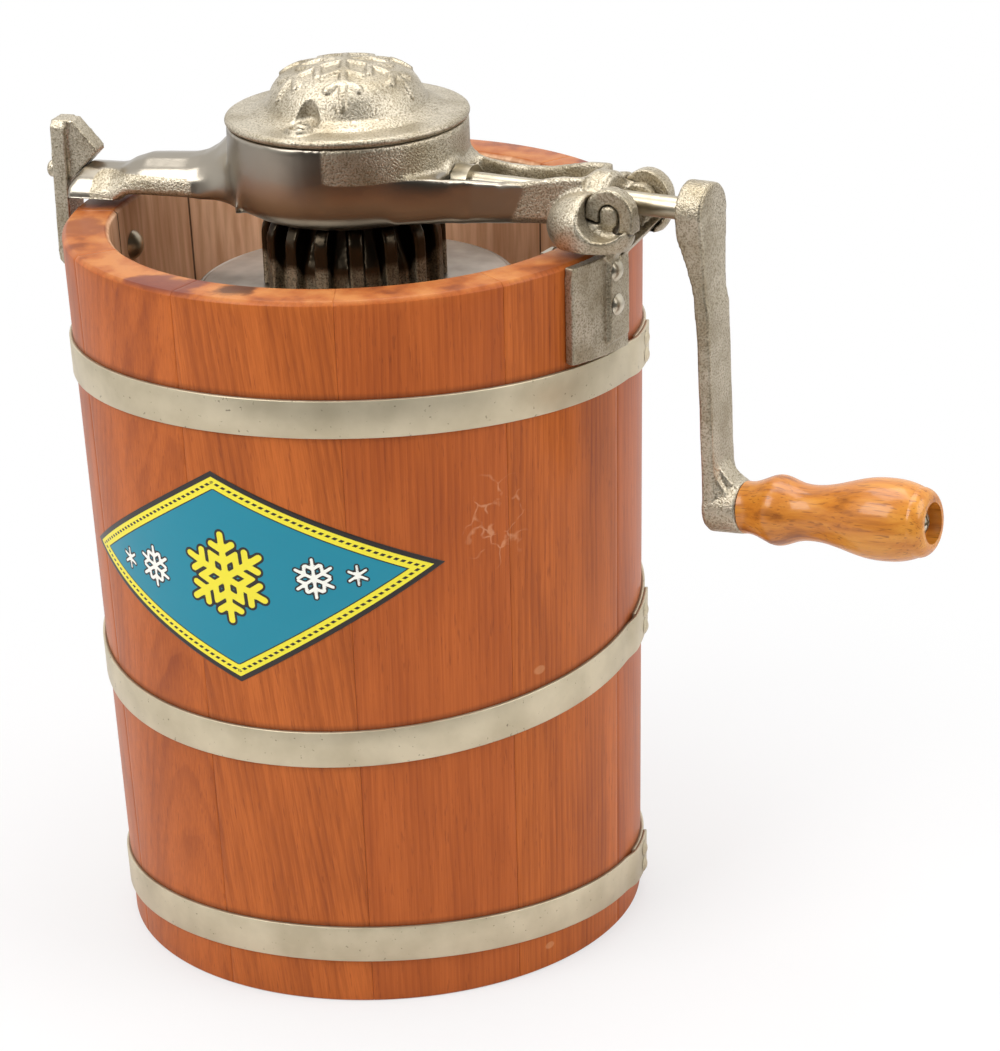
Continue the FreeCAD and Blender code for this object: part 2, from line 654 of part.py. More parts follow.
def add_scraper(frame, side, low, reach):
    """One wooden scraper outside a dasher arm, held by three pins."""
    edge = CAN_RADIUS - TIN - 0.6
    points = [V(reach, -9, 0), V(reach + 3, -9, 0), V(math.sqrt(edge * edge - 49), -7, 0),
              V(math.sqrt(edge * edge - 49) - 1.2, 6, 0), V(reach, 9, 0)]
    face = Part.Face(Part.makePolygon(points + points[:1]))
    slat = face.extrude(V(0, 0, DASHER_TOP - low - 6))
    slat.translate(V(0, 0, low + 3))
    if side < 0:
        slat = turned(slat, 180)
    pins = []
    for share in (0.12, 0.5, 0.88):
        z = low + share * (DASHER_TOP - low)
        start = V(side * (reach - 6), 0, z)
        direction = ALONG_X * side
        hole = cylinder(SCRAPER_PIN_RADIUS + RUNNING, start - direction, direction, 10.6)
        frame = frame.cut(hole)
        slat = slat.cut(hole)
        pin = cylinder(SCRAPER_PIN_RADIUS, start, direction, 9.4)
        pins.append(join([pin, dome(3.2, 1.6, start, -direction)]))
    export("scraper_%s" % ("front" if side > 0 else "back"), slat)
    return frame, pins


def make_beater():
    """Beater inside the dasher, driven by the square of the can's centre pin."""
    foot = DASHER_FOOT + 12
    top = DASHER_TOP - 9 - 6
    half = PIN_SQUARE / 2 + 0.2
    pieces = [upright(11.0, foot, foot + 14), upright(BEATER_ROD_RADIUS, foot + 10, DASHER_TOP - 3)]
    for z in (foot + 2, (foot + top) / 2, top - 8):
        pieces.append(block((-4, 4), (-BEATER_REACH, BEATER_REACH), (z, z + 8)))
    for side in (-1, 1):
        y = side * (BEATER_REACH - 3)
        pieces.append(block((-5, 5), (y - 3, y + 3), (foot + 2, top)))
    export("beater", join(pieces).cut(block((-half, half), (-half, half), (foot - 1, foot + 13))))


# Gear frame

def arm_section(x, half_width, low, high):
    """Round topped bar section across the left arm."""
    side = low + 2.0
    points = [(-half_width + 2.0, low), (half_width - 2.0, low)]
    for step in range(9):
        angle = math.pi * step / 8
        points.append((half_width * math.cos(angle), side + (high - side) * math.sin(angle)))
    return Part.makePolygon([V(x, y, z) for y, z in points + points[:1]])


def blended(x, half, radius):
    """Half width of an arm at a place, where it leaves the drum in a hollow of a radius."""
    centre_y = half + radius
    centre_x = math.sqrt((DRUM_RADIUS + radius) ** 2 - centre_y ** 2)
    if x >= centre_x:
        return half
    return centre_y - math.sqrt(radius ** 2 - (centre_x - x) ** 2)


def nose_cone(gap):
    """Cone about the latch's rivet that the nose sweeps, with a gap under it, on the +X side."""
    start = NOSE_REACH - 4.0
    length = RIM_RADIUS + LATCH_GAP - start
    return Part.makeCone(NOSE_RADIUS + length - gap, NOSE_RADIUS - gap, length, V(start, 0, LATCH_PIVOT_HEIGHT),
                         ALONG_X)


def latch_arm():
    """Left arm, from the drum out to the round tongue that rests on the rim under the latch."""
    seat = TUB_HEIGHT + SEAT
    inner_rim = RIM_RADIUS - WALL
    r = DRUM_RADIUS
    rise = TUB_HEIGHT + 7.2
    near = [(r - 14, DRUM_FLOOR + 0.6, DRUM_RIM - 0.4), (r - 9.5, DRUM_FLOOR + 0.6, DRUM_RIM - 0.4),
            (r - 5, DRUM_FLOOR + 0.8, DRUM_RIM - 1.4), (r, DRUM_FLOOR + 1.0, DRUM_RIM - 5.6),
            (r + 4, DRUM_FLOOR + 1.2, DRUM_RIM - 10.2), (r + 8, DRUM_FLOOR + 1.5, DRUM_RIM - 14.0),
            (r + 14, DRUM_FLOOR + 1.9, DRUM_RIM - 17.4), (r + 21, rise, DRUM_RIM - 19.2)]
    sections = [arm_section(x, blended(x, ARM_HALF, ARM_BLEND) - 0.4, low, high) for x, low, high in near]
    sections += [arm_section(inner_rim - 13, ARM_HALF - 0.6, rise, seat + 23.4),
                 arm_section(inner_rim - 6, ARM_HALF - 0.8, rise - 0.4, seat + 21.0),
                 arm_section(inner_rim - 1, ARM_HALF - 0.4, seat + 3.4, seat + TONGUE_HEIGHT + 0.4)]
    bar = Part.makeLoft(sections, True, True)
    tongue = Part.makeLoft([sections[-1], arm_section(inner_rim + 3, ARM_HALF, seat - 1, seat + TONGUE_HEIGHT),
                            arm_section(TONGUE_END, ARM_HALF + 0.4, seat - 1, seat + TONGUE_HEIGHT)], True, True)
    near_side = block((0, NOSE_REACH - 3.5), (-60, 60), (seat - 2, seat + 60))
    tongue = tongue.common(join([nose_cone(PLAY + SEAT), near_side]))
    tongue = tongue.cut(block((0, 2 * RIM_RADIUS), (-60, 60), (0, seat)))
    return turned(join([bar, tongue]), LATCH_AZIMUTH)


def trough_section(x, half_width, low, high, inset=0.0):
    """Section of the right arm, or of the space in it where an inset is given."""
    half = half_width - inset
    bevel = 3.0 if inset == 0.0 else 0.4
    points = [V(x, -half, high), V(x, -half, low + bevel), V(x, -half + bevel, low),
              V(x, half - bevel, low), V(x, half, low + bevel), V(x, half, high)]
    return Part.makePolygon(points + points[:1])


def trough_half(x):
    """Half width of the right arm at a place."""
    share = (x - DRUM_RADIUS) / (BOSS_START - DRUM_RADIUS)
    straight = TROUGH_HALF - (TROUGH_HALF - TROUGH_HALF_FAR) * max(0.0, share)
    return blended(x, straight, TROUGH_BLEND)


def trough():
    """Right arm: a trough that carries the shaft, open at the top, with a boss at its end."""
    r, floor = DRUM_RADIUS, DRUM_FLOOR
    reach = BOSS_START - r
    stations = [(r - 13, 0.5, 1.0), (r - 7, 0.5, 0.9), (r, 0.8, 0.4), (r + 8, 1.5, 0.0), (r + 18, 2.6, 0.0),
                (r + 0.42 * reach, 3.6, 0.2), (r + 0.60 * reach, 5.0, 1.4), (r + 0.73 * reach, 5.8, 3.4),
                (r + 0.85 * reach, 6.2, 5.4), (BOSS_START + 1, 6.5, 6.2)]
    sections = [trough_section(x, trough_half(x) - 0.2, floor + low, TROUGH_TOP + high) for x, low, high in stations]
    boss = crosswise(BOSS_RADIUS, BOSS_START, BOSS_END - 1.5)
    nose = Part.makeCone(BOSS_RADIUS, BOSS_RADIUS - 1.5, 1.5, V(BOSS_END - 1.5, 0, SHAFT_HEIGHT), ALONG_X)
    return join([Part.makeLoft(sections, True, True), boss, nose])


def trough_hollow():
    """Space inside the right arm."""
    top = TROUGH_TOP + 14
    far = BOSS_START - 1
    places = (DRUM_RADIUS + 2.0, DRUM_RADIUS + 9.0, DRUM_RADIUS + 20.0, far)
    sections = []
    for x in places:
        share = (x - places[0]) / (far - places[0])
        sections.append(trough_section(x, trough_half(x), TROUGH_FLOOR + 3.4 * share, top, TROUGH_WALL))
    return Part.makeLoft(sections, True, True)


def hook_arch(low, high, spread=0.0):
    """Arch of one hook over the trunnion, between two places along Y."""
    inner = TRUNNION_RADIUS + 0.5 - spread
    outer = TRUNNION_RADIUS + 0.5 + HOOK_THICKNESS + spread
    x, z = TRUNNION_X, TRUNNION_HEIGHT
    tip = z - 2.0 - spread
    points = [(x - outer, tip), (x - outer, z), ((x, z + outer), (x + outer, z)), (x + outer, z - 7),
              (x + inner, z - 7), (x + inner, z), ((x, z + inner), (x - inner, z)), (x - inner, tip - 1.5)]
    return slab(points, low, high)


def hook_leg(side, spread=0.0):
    """Leg of one hook, which slants from the arch down to the ear's rib."""
    x, z = TRUNNION_X, TRUNNION_HEIGHT
    inner = TRUNNION_RADIUS + 0.5
    wall = tub_radius(EAR_TOP)
    middle = (EAR_RIB[0] + EAR_RIB[1]) / 2
    foot = middle + side * (HOOK_WIDTH / 2 + 1.2)
    top_y = side * (HOOK_INSIDE + HOOK_WIDTH / 2)
    half = HOOK_WIDTH / 2 + spread
    wires = []
    for low_x, high_x, y, height in ((x + inner, x + inner + HOOK_THICKNESS, top_y, z - 5 + spread),
                                     (wall + 0.8, wall + EAR_THICKNESS + 1.4, foot, EAR_TOP - 3 - spread)):
        wires.append(Part.makePolygon([V(low_x - spread, y - half, height), V(high_x + spread, y - half, height),
                                       V(high_x + spread, y + half, height), V(low_x - spread, y + half, height),
                                       V(low_x - spread, y - half, height)]))
    return Part.makeLoft(wires, True, True)


def hook(side):
    """One hook of the ear."""
    low, high = sorted((side * HOOK_INSIDE, side * (HOOK_INSIDE + HOOK_WIDTH)))
    return [hook_arch(low, high), hook_leg(side)]


def hook_pocket(side):
    """Room that a lug leaves round a hook."""
    room = 1.0
    low, high = sorted((side * (HOOK_INSIDE - 0.8), side * (HOOK_INSIDE + HOOK_WIDTH + 0.8)))
    arch = hook_arch(low, high, room)
    lifted = arch.copy()
    lifted.translate(V(5 * room, 0, 0))
    return [arch, lifted, hook_leg(side, 1.3 * room)]


def lug(side):
    """Round lug beside the boss, with a pocket for the ear's hook and a trunnion across it."""
    seat = TUB_HEIGHT + SEAT
    bulb = Part.makeSphere(1.0)
    matrix = FreeCAD.Matrix()
    matrix.scale(V(20.5, 14.0, 15.0))
    bulb = bulb.transformGeometry(matrix)
    bulb.translate(V(TRUNNION_X - 10.0, side * 17.0, seat + 13.6))
    bulb = bulb.cut(block((0, 2 * TRUNNION_X), (-80, 80), (0, seat)))
    bulb = bulb.cut(block((BOSS_END - 2, 2 * TRUNNION_X), (-7, 7), (0, 2 * TRUNNION_HEIGHT)))
    front = side * (HOOK_INSIDE + HOOK_WIDTH + 0.8)
    mouth = cylinder(TRUNNION_RADIUS + 6.0, V(TRUNNION_X, front - side, TRUNNION_HEIGHT + 1), V(0, side, 0), 30)
    above = block((TRUNNION_X - TRUNNION_RADIUS - 6.0, 2 * TRUNNION_X), tuple(sorted((front - side, side * 60))),
                  (TRUNNION_HEIGHT + 1, 2 * TRUNNION_HEIGHT))
    bulb = bulb.cut(mouth).cut(above)
    inner = cylinder(TRUNNION_RADIUS + 2.5, V(TRUNNION_X, side * 7.0, TRUNNION_HEIGHT), V(0, side, 0),
                     HOOK_INSIDE - 0.9 - 7.0)
    web = block((BOSS_START, TRUNNION_X), tuple(sorted((side * 7.0, side * (HOOK_INSIDE - 0.9)))),
                (TRUNNION_HEIGHT - 12, TRUNNION_HEIGHT + 5))
    body = join([bulb, inner, web])
    for copy in hook_pocket(side):
        body = body.cut(copy)
    pin = cylinder(TRUNNION_RADIUS, V(TRUNNION_X, side * 7.0, TRUNNION_HEIGHT), V(0, side, 0),
                   HOOK_INSIDE + HOOK_WIDTH + 0.4 - 7.0)
    return join([body, pin])


def screw_post(azimuth):
    """Post inside the drum for a cover screw."""
    x, y, _ = polar(COVER_SCREW_CIRCLE, azimuth)
    return upright(6.0, DRUM_FLOOR + 12, DRUM_RIM, x, y)


def make_gear_frame():
    """Gear frame casting: drum, latch arm, trough, boss and lugs."""
    r, low, high, fillet = DRUM_RADIUS, DRUM_FLOOR, DRUM_RIM, DRUM_FILLET
    corner = fillet * (1 - math.sqrt(0.5))
    outside = lathe([(0.0, low), (r - fillet, low), ((r - corner, low + corner), (r, low + fillet)), (r, high),
                     (0.0, high)])
    inner = r - DRUM_WALL
    hollow = join([upright(inner, low + DRUM_WALL, high + 1), upright(DRUM_OPENING, low - 5, high)])
    casting = join([outside, latch_arm(), trough(), lug(1), lug(-1)])
    casting = casting.cut(block((-90, 90), (-90, 90), (high, high + 20)))
    bearing = crosswise(10.0, inner - 6.5, r + 1)
    posts = [screw_post(COVER_SCREW_AZIMUTH), screw_post(COVER_SCREW_AZIMUTH + 180)]
    casting = join([casting.cut(hollow).cut(trough_hollow()), bearing] + posts)
    casting = casting.cut(crosswise(SHAFT_RADIUS + RUNNING, inner - 8, BOSS_END + 1))
    oil = slab([(BOSS_START + 2.5, SHAFT_HEIGHT + 4), (BOSS_START + 8, SHAFT_HEIGHT + 4),
                (BOSS_START + 8, SHAFT_HEIGHT + 20), (BOSS_START + 2.5, SHAFT_HEIGHT + 20)], -1.0, 1.0)
    oil.rotate(V(0, 0, SHAFT_HEIGHT), ALONG_X, 25)
    casting = casting.cut(oil)
    for azimuth in (COVER_SCREW_AZIMUTH, COVER_SCREW_AZIMUTH + 180):
        x, y, _ = polar(COVER_SCREW_CIRCLE, azimuth)
        casting = casting.cut(upright(COVER_SCREW_RADIUS + RUNNING, high - 14, high + 1, x, y))
    export("gear_frame", casting)


def make_cover(gear_back):
    """Domed cover with a boss for the dasher gear's spindle, and its two screws in sunk seats."""
    low = DRUM_RIM
    top = low + COVER_THICKNESS
    r = COVER_RADIUS
    apex = top + DOME_HEIGHT
    side_top = (DOME_RADIUS - 5.0, top + 0.51 * DOME_HEIGHT)
    shoulder = (DOME_RADIUS - 9.3, top + 0.715 * DOME_HEIGHT)
    crown_foot = (DOME_RADIUS - 16.0, top + 0.845 * DOME_HEIGHT)
    rise = apex - crown_foot[1]
    ball = (crown_foot[0] ** 2 + rise ** 2) / (2 * rise)
    crown_x = 0.5 * crown_foot[0]
    crown = (crown_x, apex - ball + math.sqrt(ball ** 2 - crown_x ** 2))
    inner = DOME_RADIUS - DOME_WALL
    ceiling = apex - 4.5
    cover = lathe([(0.0, ceiling), ((0.72 * inner, ceiling - 0.3 * (ceiling - low)), (inner, low + 4)), (inner, low),
                   (r - 2.2, low), (r - 2.2, low + 0.7), (r - 0.8, low + 0.7), ((r, low + 2.2), (r - 1.2, top - 0.4)),
                   (r - 3.5, top), (DOME_RADIUS + 2.6, top + 0.6),
                   ((DOME_RADIUS + 0.6, top + 1.2), (DOME_RADIUS - 0.4, top + 3.0)), side_top,
                   (shoulder, crown_foot), (crown, (0.0, apex))])
    spindle_room = gear_back + PLAY
    boss = upright(SPINDLE_RADIUS + 4, spindle_room, apex - 3)
    spigot = upright(DRUM_RADIUS - DRUM_WALL - SEAT, low - 2.5, low + 0.5).cut(
        upright(DRUM_RADIUS - DRUM_WALL - 3, low - 3, low + 1))
    cover = join([cover, boss, spigot])
    spindle_end = gear_back + SPINDLE_LENGTH + PLAY
    cover = cover.cut(upright(SPINDLE_RADIUS + RUNNING, spindle_room - 1, spindle_end))
    screws = []
    for azimuth in (COVER_SCREW_AZIMUTH, COVER_SCREW_AZIMUTH + 180):
        x, y, _ = polar(COVER_SCREW_CIRCLE, azimuth)
        scallop = upright(SCREW_BOSS_RADIUS + 1.6, top + 1.4, apex, x, y)
        cover = join([cover.cut(scallop), upright(SCREW_BOSS_RADIUS, low, top + 2.8, x, y)])
        cover = cover.cut(upright(4.3, top - 0.4, apex, x, y)).cut(
            upright(COVER_SCREW_RADIUS + SEAT, low - 4, top + 1, x, y))
        cover = cover.cut(upright(6.0 + PLAY, low - 3, low, x, y))
        shank = upright(COVER_SCREW_RADIUS, low - 12, top, x, y)
        head = dome(4.0, 2.6, V(x, y, top - 0.3), UP)
        slot = block((x - 5, x + 5), (y - 0.5, y + 0.5), (top + 1.0, top + 4))
        screws.append(join([shank, head]).cut(slot))
    export("cover", cover)
    export("cover_screws", Part.makeCompound(screws))


# Ear and latch

def make_ear():
    """Ear on the tub's outside, with two hooks for the frame's trunnions, and its bolts and nuts."""
    plate = cone_shell(SEAT, EAR_THICKNESS, EAR_FOOT_REAR - 2, EAR_TOP)
    plate = plate.common(sector(EAR_FRONT_ANGLE, EAR_REAR_ANGLE, 2 * RIM_RADIUS, 0.5 * TUB_HEIGHT, 1.2 * TUB_HEIGHT))
    front = RIM_RADIUS * math.sin(math.radians(EAR_FRONT_ANGLE)) - 4
    rear = RIM_RADIUS * math.sin(math.radians(EAR_REAR_ANGLE)) + 4
    start = RIM_RADIUS - WALL
    low = EAR_FOOT_REAR - 2 * WALL
    foot = Part.Face(Part.makePolygon([V(start, front, low), V(start, rear, low), V(start, rear, EAR_FOOT_REAR),
                                       V(start, front, EAR_FOOT_FRONT), V(start, front, low)]))
    plate = plate.cut(foot.extrude(V(2 * WALL, 0, 0)))
    face = RIM_RADIUS + EAR_THICKNESS
    crest = face + EAR_RIB_RISE
    rib = slab([(face - 4, EAR_FOOT_FRONT + 2), (crest - 0.8, EAR_FOOT_FRONT + 4), (crest, EAR_TOP - 4),
                (face - 1, EAR_TOP - 0.5), (face - 4, EAR_TOP - 0.5)], *EAR_RIB)
    bolts = []
    nuts = []
    holes = []
    y = EAR_BOLT_Y
    for z in EAR_BOLT_HEIGHTS:
        seat = crest - 0.2
        inside = math.sqrt((tub_radius(z) - WALL) ** 2 - y * y)
        shank = crosswise(EAR_BOLT_RADIUS, inside - 9, seat, z, y)
        bolts.append(join([shank, dome(4.8, 2.4, V(seat, y, z), ALONG_X)]))
        holes.append(crosswise(EAR_BOLT_RADIUS + SEAT, start, crest + WALL, z, y))
        holes.append(crosswise(5.4, seat, crest + WALL, z, y))
        nut = hex_or_square(4, 10.0, 5.0, V(inside - 2, y, z), -ALONG_X)
        washer = crosswise(7.5, inside - 2, inside - 0.6, z, y)
        nuts.append(join([nut, washer]).cut(crosswise(EAR_BOLT_RADIUS + RUNNING, inside - 10, inside + 1, z, y)))
    ear = join([plate, rib] + hook(1) + hook(-1))
    ear = ear.cut(Part.makeCompound(holes))
    export("ear", ear)
    export("ear_bolts", Part.makeCompound(bolts))
    export("ear_nuts", Part.makeCompound(nuts))


def make_latch():
    """Latch that swings on its rivet, with a nose that holds the arm down from above."""
    inner = RIM_RADIUS + LATCH_GAP
    outer = inner + LATCH_THICKNESS
    low = LATCH_PIVOT_HEIGHT
    w = LATCH_HALF_WIDTH
    bottom = low - w - 2
    side = Part.Face(outline([(-w, low), ((0, bottom), (w, low)), (w - 1.5, LATCH_TOP - 3),
                              (w - 3.5, LATCH_TOP), (-w + 3.5, LATCH_TOP), (-w + 1.5, LATCH_TOP - 3)]).OuterWire)
    side.rotate(ORIGIN, UP, 90)
    side.translate(V(inner, 0, 0))
    plate = side.extrude(V(LATCH_THICKNESS, 0, 0))
    crown = low + NOSE_RADIUS + inner - NOSE_REACH
    rib = slab([(inner + 1, LATCH_TOP - 0.4), (inner - 3.0, LATCH_TOP - 0.4), (NOSE_REACH + 0.2, crown + 3.6),
                ((NOSE_REACH - 0.8, crown + 1.2), (NOSE_REACH + 0.6, crown - 1.6)), (inner - 2, low + NOSE_RADIUS - 2),
                (inner + 1, low + NOSE_RADIUS - 2)], -NOSE_HALF_WIDTH, NOSE_HALF_WIDTH)
    rib = rib.cut(nose_cone(0.0))
    boss_start = RIM_RADIUS + 0.4
    boss = crosswise(9.5, boss_start, inner + 1, low)
    nub = crosswise(4.0, outer - 1, outer + 4.2, 346.5)
    tip = Part.makeCone(4.0, 2.6, 1.2, V(outer + 4.2, 0, 346.5), ALONG_X)
    latch = join([plate, rib, boss, nub, tip])
    latch = latch.cut(crosswise(LATCH_RIVET_RADIUS + RUNNING, 80, outer + 1, low))
    sink = Part.makeCone(LATCH_RIVET_RADIUS, LATCH_RIVET_RADIUS + 2, 2, V(outer - 2, 0, low), ALONG_X)
    room = Part.makeCone(LATCH_RIVET_RADIUS + RUNNING, LATCH_RIVET_RADIUS + 2 + 2 * RUNNING, 2,
                         V(outer - 2, 0, low), ALONG_X)
    export("latch", turned(latch.cut(room), LATCH_AZIMUTH))
    head_seat = math.sqrt((tub_radius(low) - WALL) ** 2 - 49) - SEAT
    shank = crosswise(LATCH_RIVET_RADIUS, head_seat, outer, low)
    head = dome(6.8, 4.6, V(head_seat, 0, low), -ALONG_X)
    rivet = join([shank, head, sink])
    export("latch_rivet", turned(rivet, LATCH_AZIMUTH))


# Crank

def leaning(shape):
    """Copy of a shape turned about the shaft, as the crank hangs at rest."""
    copy = shape.copy()
    copy.rotate(V(0, 0, SHAFT_HEIGHT), ALONG_X, CRANK_LEAN)
    return copy


def handle_axis():
    """Place and direction of the handle's axis before the crank leans."""
    tilt = math.radians(HANDLE_TILT)
    return V(HANDLE_BOSS_END, 0, SHAFT_HEIGHT - CRANK_THROW), V(math.cos(tilt), 0, math.sin(tilt))


def make_shaft(pin_x, inner_end):
    """Crank shaft and the pinned collar that keeps it in the frame."""
    shaft = crosswise(SHAFT_RADIUS, inner_end - 1.5, HUB_END - 4)
    collar_start = DRUM_RADIUS + 2 + PLAY
    collar = crosswise(COLLAR_RADIUS, collar_start, collar_start + COLLAR_LENGTH)
    pin_place = collar_start + COLLAR_LENGTH / 2
    half = COLLAR_RADIUS - 0.4
    pin = cylinder(PIN_RADIUS, V(pin_place, -half, SHAFT_HEIGHT), V(0, 1, 0), 2 * half)
    hole = cylinder(PIN_RADIUS + RUNNING, V(pin_place, -half - 2, SHAFT_HEIGHT), V(0, 1, 0), 2 * half + 4)
    pinion_hole = upright(PIN_RADIUS + RUNNING, SHAFT_HEIGHT - 12, SHAFT_HEIGHT + 12, pin_x)
    export("crank_shaft", shaft.cut(hole).cut(pinion_hole))
    export("shaft_collar", collar.cut(hole).cut(crosswise(SHAFT_RADIUS + RUNNING, 0, 100)))
    export("collar_pin", pin)


def make_crank_arm():
    """Crank arm: hub on the shaft, flat arm, and the boss that carries the handle."""
    top = SHAFT_HEIGHT
    foot = top - CRANK_THROW
    inner = HUB_END - ARM_THICKNESS
    outer = HUB_END + 1.2
    profile = slab([(HUB_START, top + 20), (HUB_START, top - 9),
                    ((HUB_START + 3.6, top - 22), (inner - 1.0, top - 36)), (inner, top - 56), (inner, foot - 20),
                    (outer, foot - 20), (outer, top - 42), (HUB_END, top - 36), (HUB_END, top + 20)], -40, 40)
    half = ARM_HALF_WIDTH
    face = Part.Face(Part.makePolygon([V(100, -half - 0.8, top - 6), V(100, -half, top - 30),
                                       V(100, -half, foot), V(100, half, foot), V(100, half, top - 30),
                                       V(100, half + 0.8, top - 6), V(100, -half - 0.8, top - 6)]))
    bar = face.extrude(V(100, 0, 0))
    neck = Part.Face(Part.makePolygon([V(100, -HUB_RADIUS * 0.97, top - 4), V(100, -half, top - 26),
                                       V(100, half, top - 26), V(100, HUB_RADIUS * 0.97, top - 4),
                                       V(100, -HUB_RADIUS * 0.97, top - 4)])).extrude(V(100, 0, 0))
    round_foot = crosswise(half + 1.0, inner, outer, foot)
    bar = join([bar, neck, round_foot, crosswise(HUB_RADIUS, 100, 200)]).common(profile)
    place, direction = handle_axis()
    boss_length = HANDLE_BOSS_END - inner - 1.0
    boss = cylinder(HANDLE_BOSS_RADIUS, place - direction * boss_length, direction, boss_length)
    fillet = slab([(outer - 1, foot + 27), ((outer + 2.2, foot + 17), (HANDLE_BOSS_END - 1.4, foot + 11)),
                   (HANDLE_BOSS_END - 1.4, foot - 8), (outer - 1, foot - 8)], -6, 6)
    web = slab([(outer - 1, foot + 24), ((outer + 0.8, foot + 16), (HANDLE_BOSS_END - 5, foot + 8)),
                (HANDLE_BOSS_END - 5, foot - 6), (outer - 1, foot - 6)], -9, 9)
    arm = join([bar, boss, fillet, web])
    arm = arm.cut(crosswise(SHAFT_RADIUS + RUNNING, HUB_START - 1, HUB_END - 4 + SEAT))
    arm = arm.cut(cylinder(HANDLE_SCREW_RADIUS + RUNNING, place - direction * 14, direction, 40))
    export("crank_arm", leaning(arm))


def make_handle():
    """Turned wooden handle that spins on a long screw."""
    place, direction = handle_axis()
    length = HANDLE_LENGTH
    waist = [(0.0, 11.6), (6.0, 12.2), (11.5, 14.3), (16.0, 15.5), (20.5, 14.7), (26.0, 12.9), (32.0, 12.2),
             (40.0, 12.9), (50.0, 15.3), (60.0, 17.5), (67.0, 17.9), (75.0, 17.3), (82.0, 15.2)]
    curve = Part.BSplineCurve()
    curve.interpolate([V(r, 0, PLAY + a * length / 88.0) for a, r in waist])
    end = PLAY + length
    side_top = PLAY + length * 82.0 / 88.0
    rounding = Part.Arc(V(15.2, 0, side_top), V(13.7, 0, end - 1.9), V(10.8, 0, end)).toShape()
    recess = end - 6.0
    bore = HANDLE_SCREW_RADIUS + 2 * RUNNING
    lines = [(10.8, end), (9.0, end), (9.0, recess), (bore, recess), (bore, PLAY), (11.6, PLAY)]
    edges = [curve.toShape(), rounding]
    for first, second in zip(lines, lines[1:]):
        edges.append(Part.makeLine(flat(first), flat(second)))
    grip = Part.Face(Part.Wire(edges)).revolve(ORIGIN, UP, 360)
    screw_low = -13.5
    head_seat = recess + PLAY
    screw = join([upright(HANDLE_SCREW_RADIUS, screw_low, head_seat + 1), dome(6.4, 3.2, V(0, 0, head_seat), UP)])
    for x, y in ((4.5, 0.6), (0.6, 4.5)):
        screw = screw.cut(block((-x, x), (-y, y), (head_seat + 1.6, head_seat + 6)))
    placement = FreeCAD.Placement(place, FreeCAD.Rotation(UP, direction))
    for name, shape in (("handle_grip", grip), ("handle_screw", screw)):
        shape.Placement = placement
        export(name, leaning(shape))


def main():
    """Build every piece."""
    os.makedirs("parts", exist_ok=True)
    make_staves()
    make_bottom_boards()
    make_hoops()
    make_label()
    make_pivot()
    make_can()
    make_lid()
    make_lid_gear()
    gear_back = make_dasher_gear()
    pin_x, inner_end = make_pinion()
    make_dasher()
    make_beater()
    make_gear_frame()
    make_cover(gear_back)
    make_ear()
    make_latch()
    make_shaft(pin_x, inner_end)
    make_crank_arm()
    make_handle()


if __name__ == "__main__":
    main()
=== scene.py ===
"""Looks of a hand crank ice cream freezer: coopered tub, hoops, castings, can and crank.

Lengths in the classes are millimetres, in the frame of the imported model: the origin is under the
middle of the tub, +Z is up and +X runs out along the crank shaft. Meshes are written in metres.
"""
import logging
import math
from dataclasses import dataclass, field
from enum import Enum

import bmesh
import bpy
import numpy as np
from bpy.types import Material, Mesh, Node, NodeSocket, NodeTree, Object
from mathutils import Matrix, Vector


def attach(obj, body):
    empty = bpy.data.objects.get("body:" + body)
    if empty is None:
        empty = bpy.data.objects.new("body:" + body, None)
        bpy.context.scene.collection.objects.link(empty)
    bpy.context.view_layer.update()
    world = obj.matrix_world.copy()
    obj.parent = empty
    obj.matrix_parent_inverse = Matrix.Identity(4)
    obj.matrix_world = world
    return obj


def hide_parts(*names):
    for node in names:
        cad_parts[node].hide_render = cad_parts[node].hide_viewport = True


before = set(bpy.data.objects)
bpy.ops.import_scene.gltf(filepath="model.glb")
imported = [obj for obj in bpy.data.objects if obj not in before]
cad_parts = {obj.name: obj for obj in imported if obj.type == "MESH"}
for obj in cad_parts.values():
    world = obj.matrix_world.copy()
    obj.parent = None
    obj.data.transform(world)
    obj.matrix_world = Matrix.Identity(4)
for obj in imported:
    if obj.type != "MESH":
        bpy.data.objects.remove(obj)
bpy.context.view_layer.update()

MM = 0.001
# degrees from the picture's plane to the crank shaft
SHAFT_TURN = 33.0
# what feeds a socket: another socket, or a node for the first of its outputs in use
Source = Node | NodeSocket
log = logging.getLogger("freezer")


def linear(code: str) -> tuple[float, float, float, float]:
    """Turns an sRGB hex colour into the linear colour that a shader socket takes.

    Args:
        code: six hex digits, with or without a hash.

    Returns:
        Red, green, blue and an alpha of 1.
    """
    digits = code.lstrip("#")
    parts = [int(digits[i:i + 2], 16) / 255.0 for i in (0, 2, 4)]
    levels = [c / 12.92 if c <= 0.04045 else ((c + 0.055) / 1.055) ** 2.4 for c in parts]
    return (levels[0], levels[1], levels[2], 1.0)


def feed(node: Node, inputs: dict) -> None:
    """Sets a node's sockets.

    Args:
        node: the node.
        inputs: socket name or number to a value, a hex colour, or the socket or node to link.
    """
    for socket, value in inputs.items():
        if isinstance(value, Node):
            value = next(output for output in value.outputs if output.enabled)
        if isinstance(value, NodeSocket):
            node.id_data.links.new(value, node.inputs[socket])
        else:
            node.inputs[socket].default_value = linear(value) if isinstance(value, str) else value


